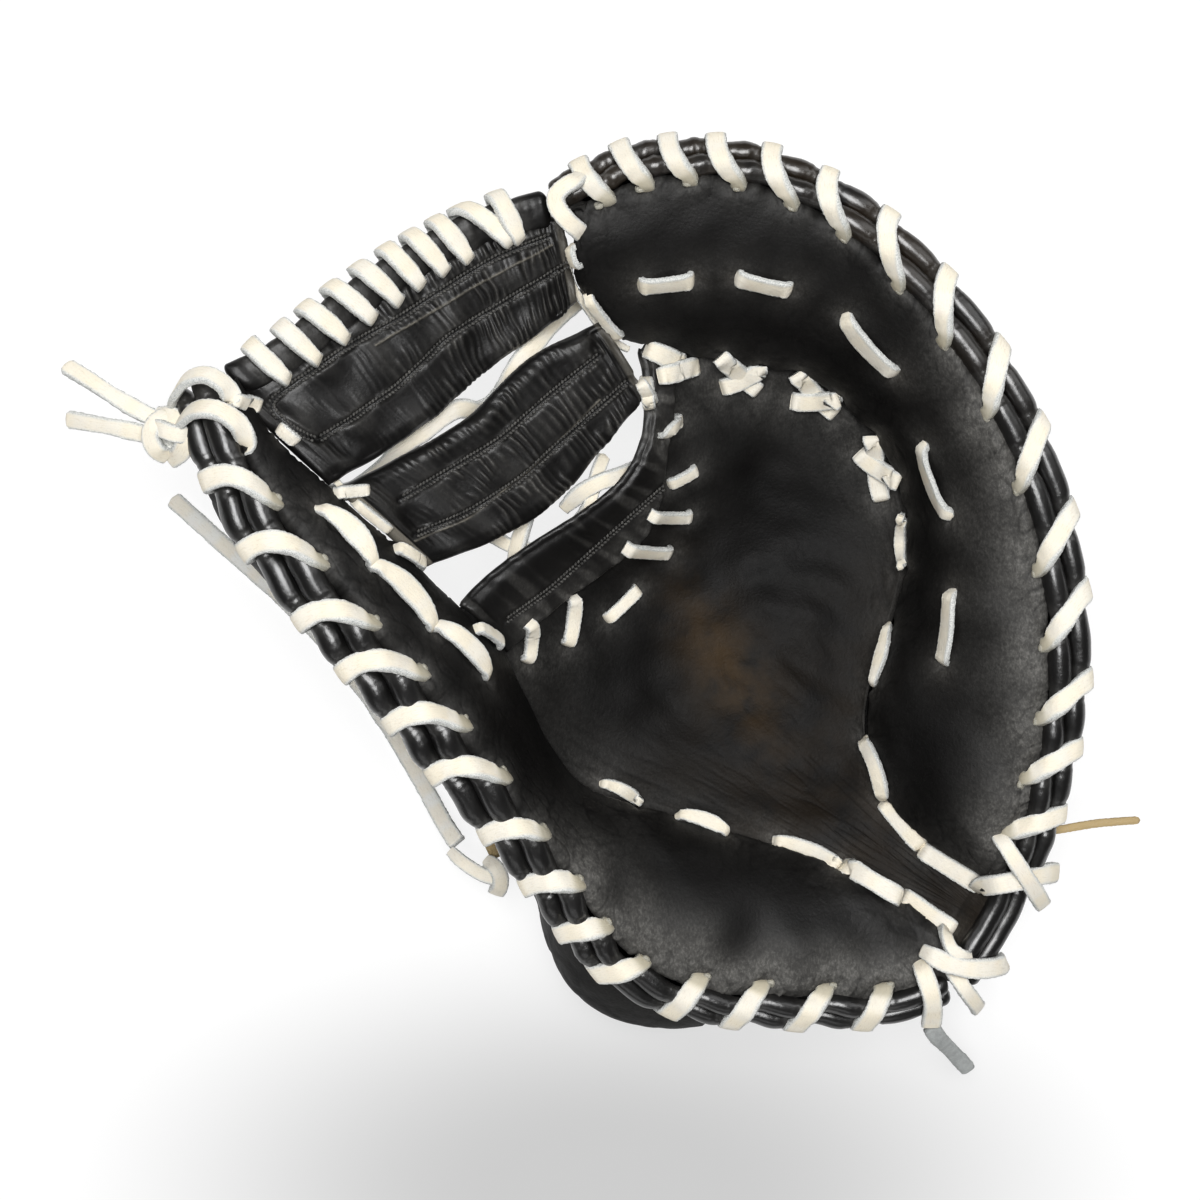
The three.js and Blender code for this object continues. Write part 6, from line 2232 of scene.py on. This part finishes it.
@dataclass
class Web:
    """The net between thumb and fingers: three bars, a laced rim, and laces in its gaps."""

    top: BarLeather = field(
        default_factory=lambda: BarLeather("web_upper_bar", TOP_BAR, 10.5, 7, 310, 0.5, (0, 0.4))
    )
    middle: BarLeather = field(
        default_factory=lambda: BarLeather("web_inner_bar", MIDDLE_BAR, 0.0, 6, 340, 0.35)
    )
    strip: BaseBar = field(default_factory=BaseBar)
    joint_strand: Strand = Strand(width=2.4, thick=2.6)
    joint_out: float = 1.7  # how far the laces in the joints lie from the seams
    joint_drop: float = 6.6  # and how far below them

    def base(self) -> list[Array]:
        """The bars' fronts, as grids."""
        return [self.top.base(), self.middle.base(), self.strip.base()]

    def build(self, finishes: Finishes, carrier: Carrier, sewn: Array) -> None:
        """Makes the bars, the rim and its lace.

        Args:
            finishes: the materials.
            carrier: the whole front.
            sewn: lace ends on the base strip.
        """
        top = self.top.build(seam_points(TOP_SEAMS, carrier), seam_points(TOP_EDGES, carrier))
        settle(top, finishes.web, "black_leather", "web_top_bar")
        middle = self.middle.build(seam_points(MIDDLE_SEAMS, carrier), seam_points(MIDDLE_EDGES, carrier))
        settle(middle, finishes.web, "black_leather", "web_middle_bar")
        strip = self.strip.build(seam_points([BASE_SEAM], carrier)[0], sewn)
        settle(strip, finishes.web, "black_leather", "web_base_bar")
        rim = WebRim(WEB_WHIPS)
        settle(rim.build_rim(), finishes.web, "roll_leather", "web_rim")
        settle(rim.build_lace(), finishes.rawhide, "rawhide", "web_rim_lace")
        for name, seams, sink in (
            ("web_upper_sewing", TOP_SEAMS, 0.35), ("web_inner_sewing", MIDDLE_SEAMS, 0.35),
            ("web_base_sewing", (BASE_SEAM,), 0.25),
        ):
            work = Meshwork(name)
            for seam in seams:
                seam.sew(work, carrier, sink)
            settle(work.build(), finishes.thread, "black_leather")

    def joint(self, half: Half, start: float, end: float, name: str) -> Piece:
        """The lace that runs in the joint beside a half's lip."""
        u = np.linspace(start, end, 120)
        beside = np.stack([Bar.beside_seam(half, float(k), self.joint_out) for k in u])
        path = beside - UP * self.joint_drop
        work = Meshwork(name)
        self.joint_strand.sweep(work, path, np.broadcast_to(UP, path.shape), 360)
        return work.build()

    def lace(self, finishes: Finishes) -> None:
        """Makes the laces in the joints and behind the gaps."""
        thumb = self.joint(THUMB, 0.15, 4.7, "web_thumb_joint")
        settle(thumb, finishes.rawhide, "rawhide", "web_thumb_lace")
        finger = self.joint(FINGER, 0.7, 3.2, "web_finger_joint")
        settle(finger, finishes.rawhide, "rawhide", "web_finger_lace")
        for name, bands in (("upper", GAP_UPPER), ("lower", GAP_LOWER)):
            work = Meshwork(f"web_gap_lace_{name}")
            for number, band in enumerate(bands):
                band.sweep(work, 370 + 10 * number)
            settle(work.build(), finishes.rawhide, "rawhide", f"web_{name}_lace")


@dataclass(frozen=True)
class Cuff:
    """The leather behind the palm and round the hand's opening."""

    start: float = 0.28  # where the strap's edges meet the backs, as shares of their curves
    end: float = 0.68
    reach: float = 34.0  # how far the strap runs on straight from the backs
    wall: float = 3.0
    pad: float = 4.0
    sag: float = 8.0
    thumb_rows: tuple[float, float] = (10.4, 13.0)  # between which the sheet hangs from the thumb's back
    finger_rows: tuple[float, float] = (10.2, 14.2)  # and from the finger's

    def bridge(self) -> Piece:
        """The sheet between the two backs: straight across, sagging by sag * hump(w)."""
        t, w = np.meshgrid(steps(120), steps(70), indexing="ij")
        a = hem_point(THUMB.cut(mix(*self.thumb_rows, t)))
        b = hem_point(FINGER.cut(mix(*self.finger_rows, t)))
        chord = unit((b - a) * [1, 1, 0]) * (GAP + 0.5)
        outer = mix(a + chord, b - chord, w[..., None])
        outer[..., 2] = np.maximum(outer[..., 2] - self.sag * hump(w), 0)
        folds = Ripples(500, 16).creases(outer, 4) * hump(w)
        inner, folded = outer + UP * BACK_WALL, outer + UP * (0.5 * folds)[..., None]
        # Painted shade darkens the folds.
        return Meshwork("back_sheet").slab(inner, folded, (0.9,) * 4, stacked(t, w), crease=folds).build()

    def band_edge(self, v: float, t: Array) -> Array:
        """One edge of the strap: a cubic curve from the thumb back's end to the finger back's."""
        left, right = THUMB.cut(THUMB_BACK_END), FINGER.cut(FINGER_BACK_END)
        flat = np.array([1, 1, 0])
        a = back_outer(left, np.asarray(v)) + unit(left.along * flat) * (GAP + 0.3)
        d = back_outer(right, np.asarray(v)) + unit(right.along * flat) * (GAP + 0.3)
        b = (a + left.along * self.reach) * flat
        c = (d + right.along * self.reach) * flat
        return cubic(a, b, c, d, t[:, None])

    def strap(self) -> Piece:
        """The padded band: wall + pad * hump(w) * hump(t)^0.3 thick, with cross wrinkles."""
        t, w = np.meshgrid(steps(260), steps(60), indexing="ij")
        a, b = self.band_edge(self.start, t[:, 0]), self.band_edge(self.end, t[:, 0])
        under = mix(a[:, None], b[:, None], w[..., None])
        thick = self.wall + self.pad * hump(w) * hump(t) ** 0.3
        place = stacked(t * 150, w * 26)
        folds = Ripples(510, 12, (1, 4)).creases(place, 4) * hump(w) ** 0.5
        swell = 0.4 * Ripples(511, 30, (1, 1)).at(place)
        top = under + UP * (thick * (1 + 0.06 * swell) - 0.5 * folds)[..., None]
        # Painted shade darkens the cross wrinkles.
        return Meshwork("wrist_band").slab(top, under, (1.4,) * 4, stacked(t, w), crease=folds).build()

    def build(self, finishes: Finishes) -> None:
        """Makes the sheet and the strap."""
        settle(self.bridge(), finishes.shell, "black_leather", "back_bridge")
        strap = settle(self.strap(), finishes.shell, "black_leather", "wrist_strap")


@dataclass(frozen=True)
class Knots:
    """The knots at the thumb's tip and at the wrist strap, and the felt tab beside the latter."""

    tip: tuple[Band, ...] = (
        Band(
            (
                (176, 414, 99), (166, 416, 104.5), (155, 424, 107), (151, 437, 107), (157, 450, 105.5),
                (168, 455, 101),
            ),
            (-0.35, 0, 1), 6.2,
        ),
        Band(
            (
                (160, 414, 99), (172, 417, 105.5), (182, 428, 108), (185, 441, 107.5), (180, 453, 104.5),
                (170, 459, 99),
            ),
            (0.3, -0.1, 1), 6.2,
        ),
        Band(
            ((150, 424, 101), (160, 428, 107.5), (173, 433, 109.5), (186, 434, 108), (196, 430, 103)),
            (0, -0.3, 1), 5.6,
        ),
    )
    strap: tuple[Band, ...] = (
        Band(
            ((452, 852, 24), (460, 860, 28), (471, 868, 30), (483, 875, 31), (494, 878, 29), (500, 875, 25)),
            (-0.3, 0.3, 1), 5.0,
        ),
        Band(
            ((488, 861, 26), (495, 867, 31.5), (500, 876, 32), (500, 886, 30), (496, 892, 26)), (0.2, 0, 1),
            5.6,
        ),
    )
    tab_middle: tuple[float, float, float] = (-51.4, -86.3, 24.0)
    tab_size: tuple[float, float, float] = (5.9, 8.0, 2.6)
    tab_turn: float = 0.45

    def lump(self, work: Meshwork, centre: Sequence[float], size: Sequence[float]) -> None:
        """Adds the knot's core: an ellipsoid, a little uneven."""
        pole, turn = np.linspace(0.02, np.pi - 0.02, 24)[:, None], turns(33)[None]
        shape = stacked(np.sin(pole) * np.cos(turn), np.sin(pole) * np.sin(turn), np.cos(pole))
        rings = np.array(centre) - MIDDLE + shape * np.array(size) / 2
        rings = rings + shape * (0.35 * Ripples(530, 4).at(rings))[..., None]
        work.tube(rings, flesh=0.8, tint=0.2)

    def tab(self) -> Piece:
        """The felt tab: a pillow with soft corners, x and y as |cos|^0.5 and |sin|^0.5."""
        turn = turns(49)
        x, y = soft_square(turn, 0.5)
        level = np.linspace(-np.pi / 2, np.pi / 2, 13)
        wide, high = np.cos(level) ** 0.4, np.sin(level)
        a, b, c = np.array(self.tab_size) / 2
        rings = stacked(wide[:, None] * x * a, wide[:, None] * y * b, (high * c)[:, None])
        s, k = math.sin(self.tab_turn), math.cos(self.tab_turn)
        rings = rings @ np.array([[k, s, 0], [-s, k, 0], [0, 0, 1]]) + np.array(self.tab_middle) - MIDDLE
        rings = rings + UP * (0.25 * Ripples(540, 2).at(rings))[..., None]
        return Meshwork("felt_tab").tube(rings).build()

    def build(self, finishes: Finishes) -> None:
        """Makes both knots and the tab."""
        for name, node, bands, centre, size in (
            ("tip_knot", "thumb_tip_knot", self.tip, (-150.5, 54.5, 102.6), (10, 11, 6.4)),
            ("wrist_knot", "strap_knot", self.strap, (-52.3, -94.8, 26), (8, 7.4, 6.4)),
        ):
            work = Meshwork(name)
            self.lump(work, centre, size)
            for number, band in enumerate(bands):
                band.sweep(work, 600 + number)
            settle(work.build(), finishes.rawhide, "rawhide", node)
        settle(self.tab(), finishes.felt, "tan_leather", "strap_tab")


def sew_all(
    name: str, stitches: Sequence[Stitch], carrier: Carrier, finishes: Finishes, seed: int, level: float = 0.0
) -> None:
    """Makes a group of short lace stitches as one piece.

    Args:
        name: the piece's name.
        stitches: where they lie.
        carrier: the leather.
        finishes: the materials.
        seed: of their unevenness.
        level: how far their faces turn from the leather's normal towards straight up.
    """
    work = Meshwork(name)
    for number, stitch in enumerate(stitches):
        stitch.sew(work, carrier, seed + 10 * number, level)
    settle(work.build(), finishes.rawhide, "rawhide")


def main() -> None:
    """Makes the mitt, its floor and its light, in order."""
    logging.basicConfig(level=logging.INFO, format="%(name)s: %(message)s")
    EYE.build()
    finishes = Finishes()
    LooseEnds().build(finishes)
    # Each panel's painted grey sheen lies between the rows given, at the strength given.
    finger = Side(
        "finger", FINGER, FINGER_WHIP, FINGER_BACK_END, -0.75, -0.3, 10, FINGER_BANDS,
        rub_and_sheen=(8.5, 16.5, 0.8), twist=0.3,
    )
    thumb = Side(
        "thumb", THUMB, THUMB_WHIP, THUMB_BACK_END, -0.95, -0.4, 40, THUMB_BANDS, swell=6.0,
        rub_and_sheen=(10.5, 18, 1.0), twist=0.9, beyond=0.3, corner=6.0, web_end=5.7,
    )
    pocket, web = Pocket(), Web()
    carrier = Carrier.over([finger.panel.base(), thumb.panel.base(), pocket.base(), *web.base()])
    finger.build(finishes, ends_of(PANEL_STITCHES + FINGER_SEAM, carrier))
    thumb.build(finishes, ends_of(THUMB_STITCHES + THUMB_SEAM, carrier))
    settle(
        pocket.build(ends_of(FINGER_SEAM + THUMB_SEAM + POCKET_STITCHES, carrier)),
        finishes.palm, "black_leather", "pocket",
    )
    finger.lace(finishes)
    thumb.lace(finishes)
    Heel().build(finishes)
    web.build(finishes, carrier, ends_of(POCKET_STITCHES, carrier))
    web.lace(finishes)
    Cuff().build(finishes)
    Knots().build(finishes)
    sew_all("finger_pad_stitches", PANEL_STITCHES, carrier, finishes, 700)
    sew_all("thumb_pad_stitches", THUMB_STITCHES, carrier, finishes, 900)
    sew_all("finger_seam_stitches", FINGER_SEAM, carrier, finishes, 1100, 1.2)
    sew_all("thumb_seam_stitches", THUMB_SEAM, carrier, finishes, 1300, 1.2)
    sew_all("pocket_edge_stitches", POCKET_STITCHES, carrier, finishes, 1500)
    sew_all("web_end_stitches", WEB_END_STITCHES, carrier, finishes, 1700)
    Studio().build()


if __name__ == "__main__":
    main()
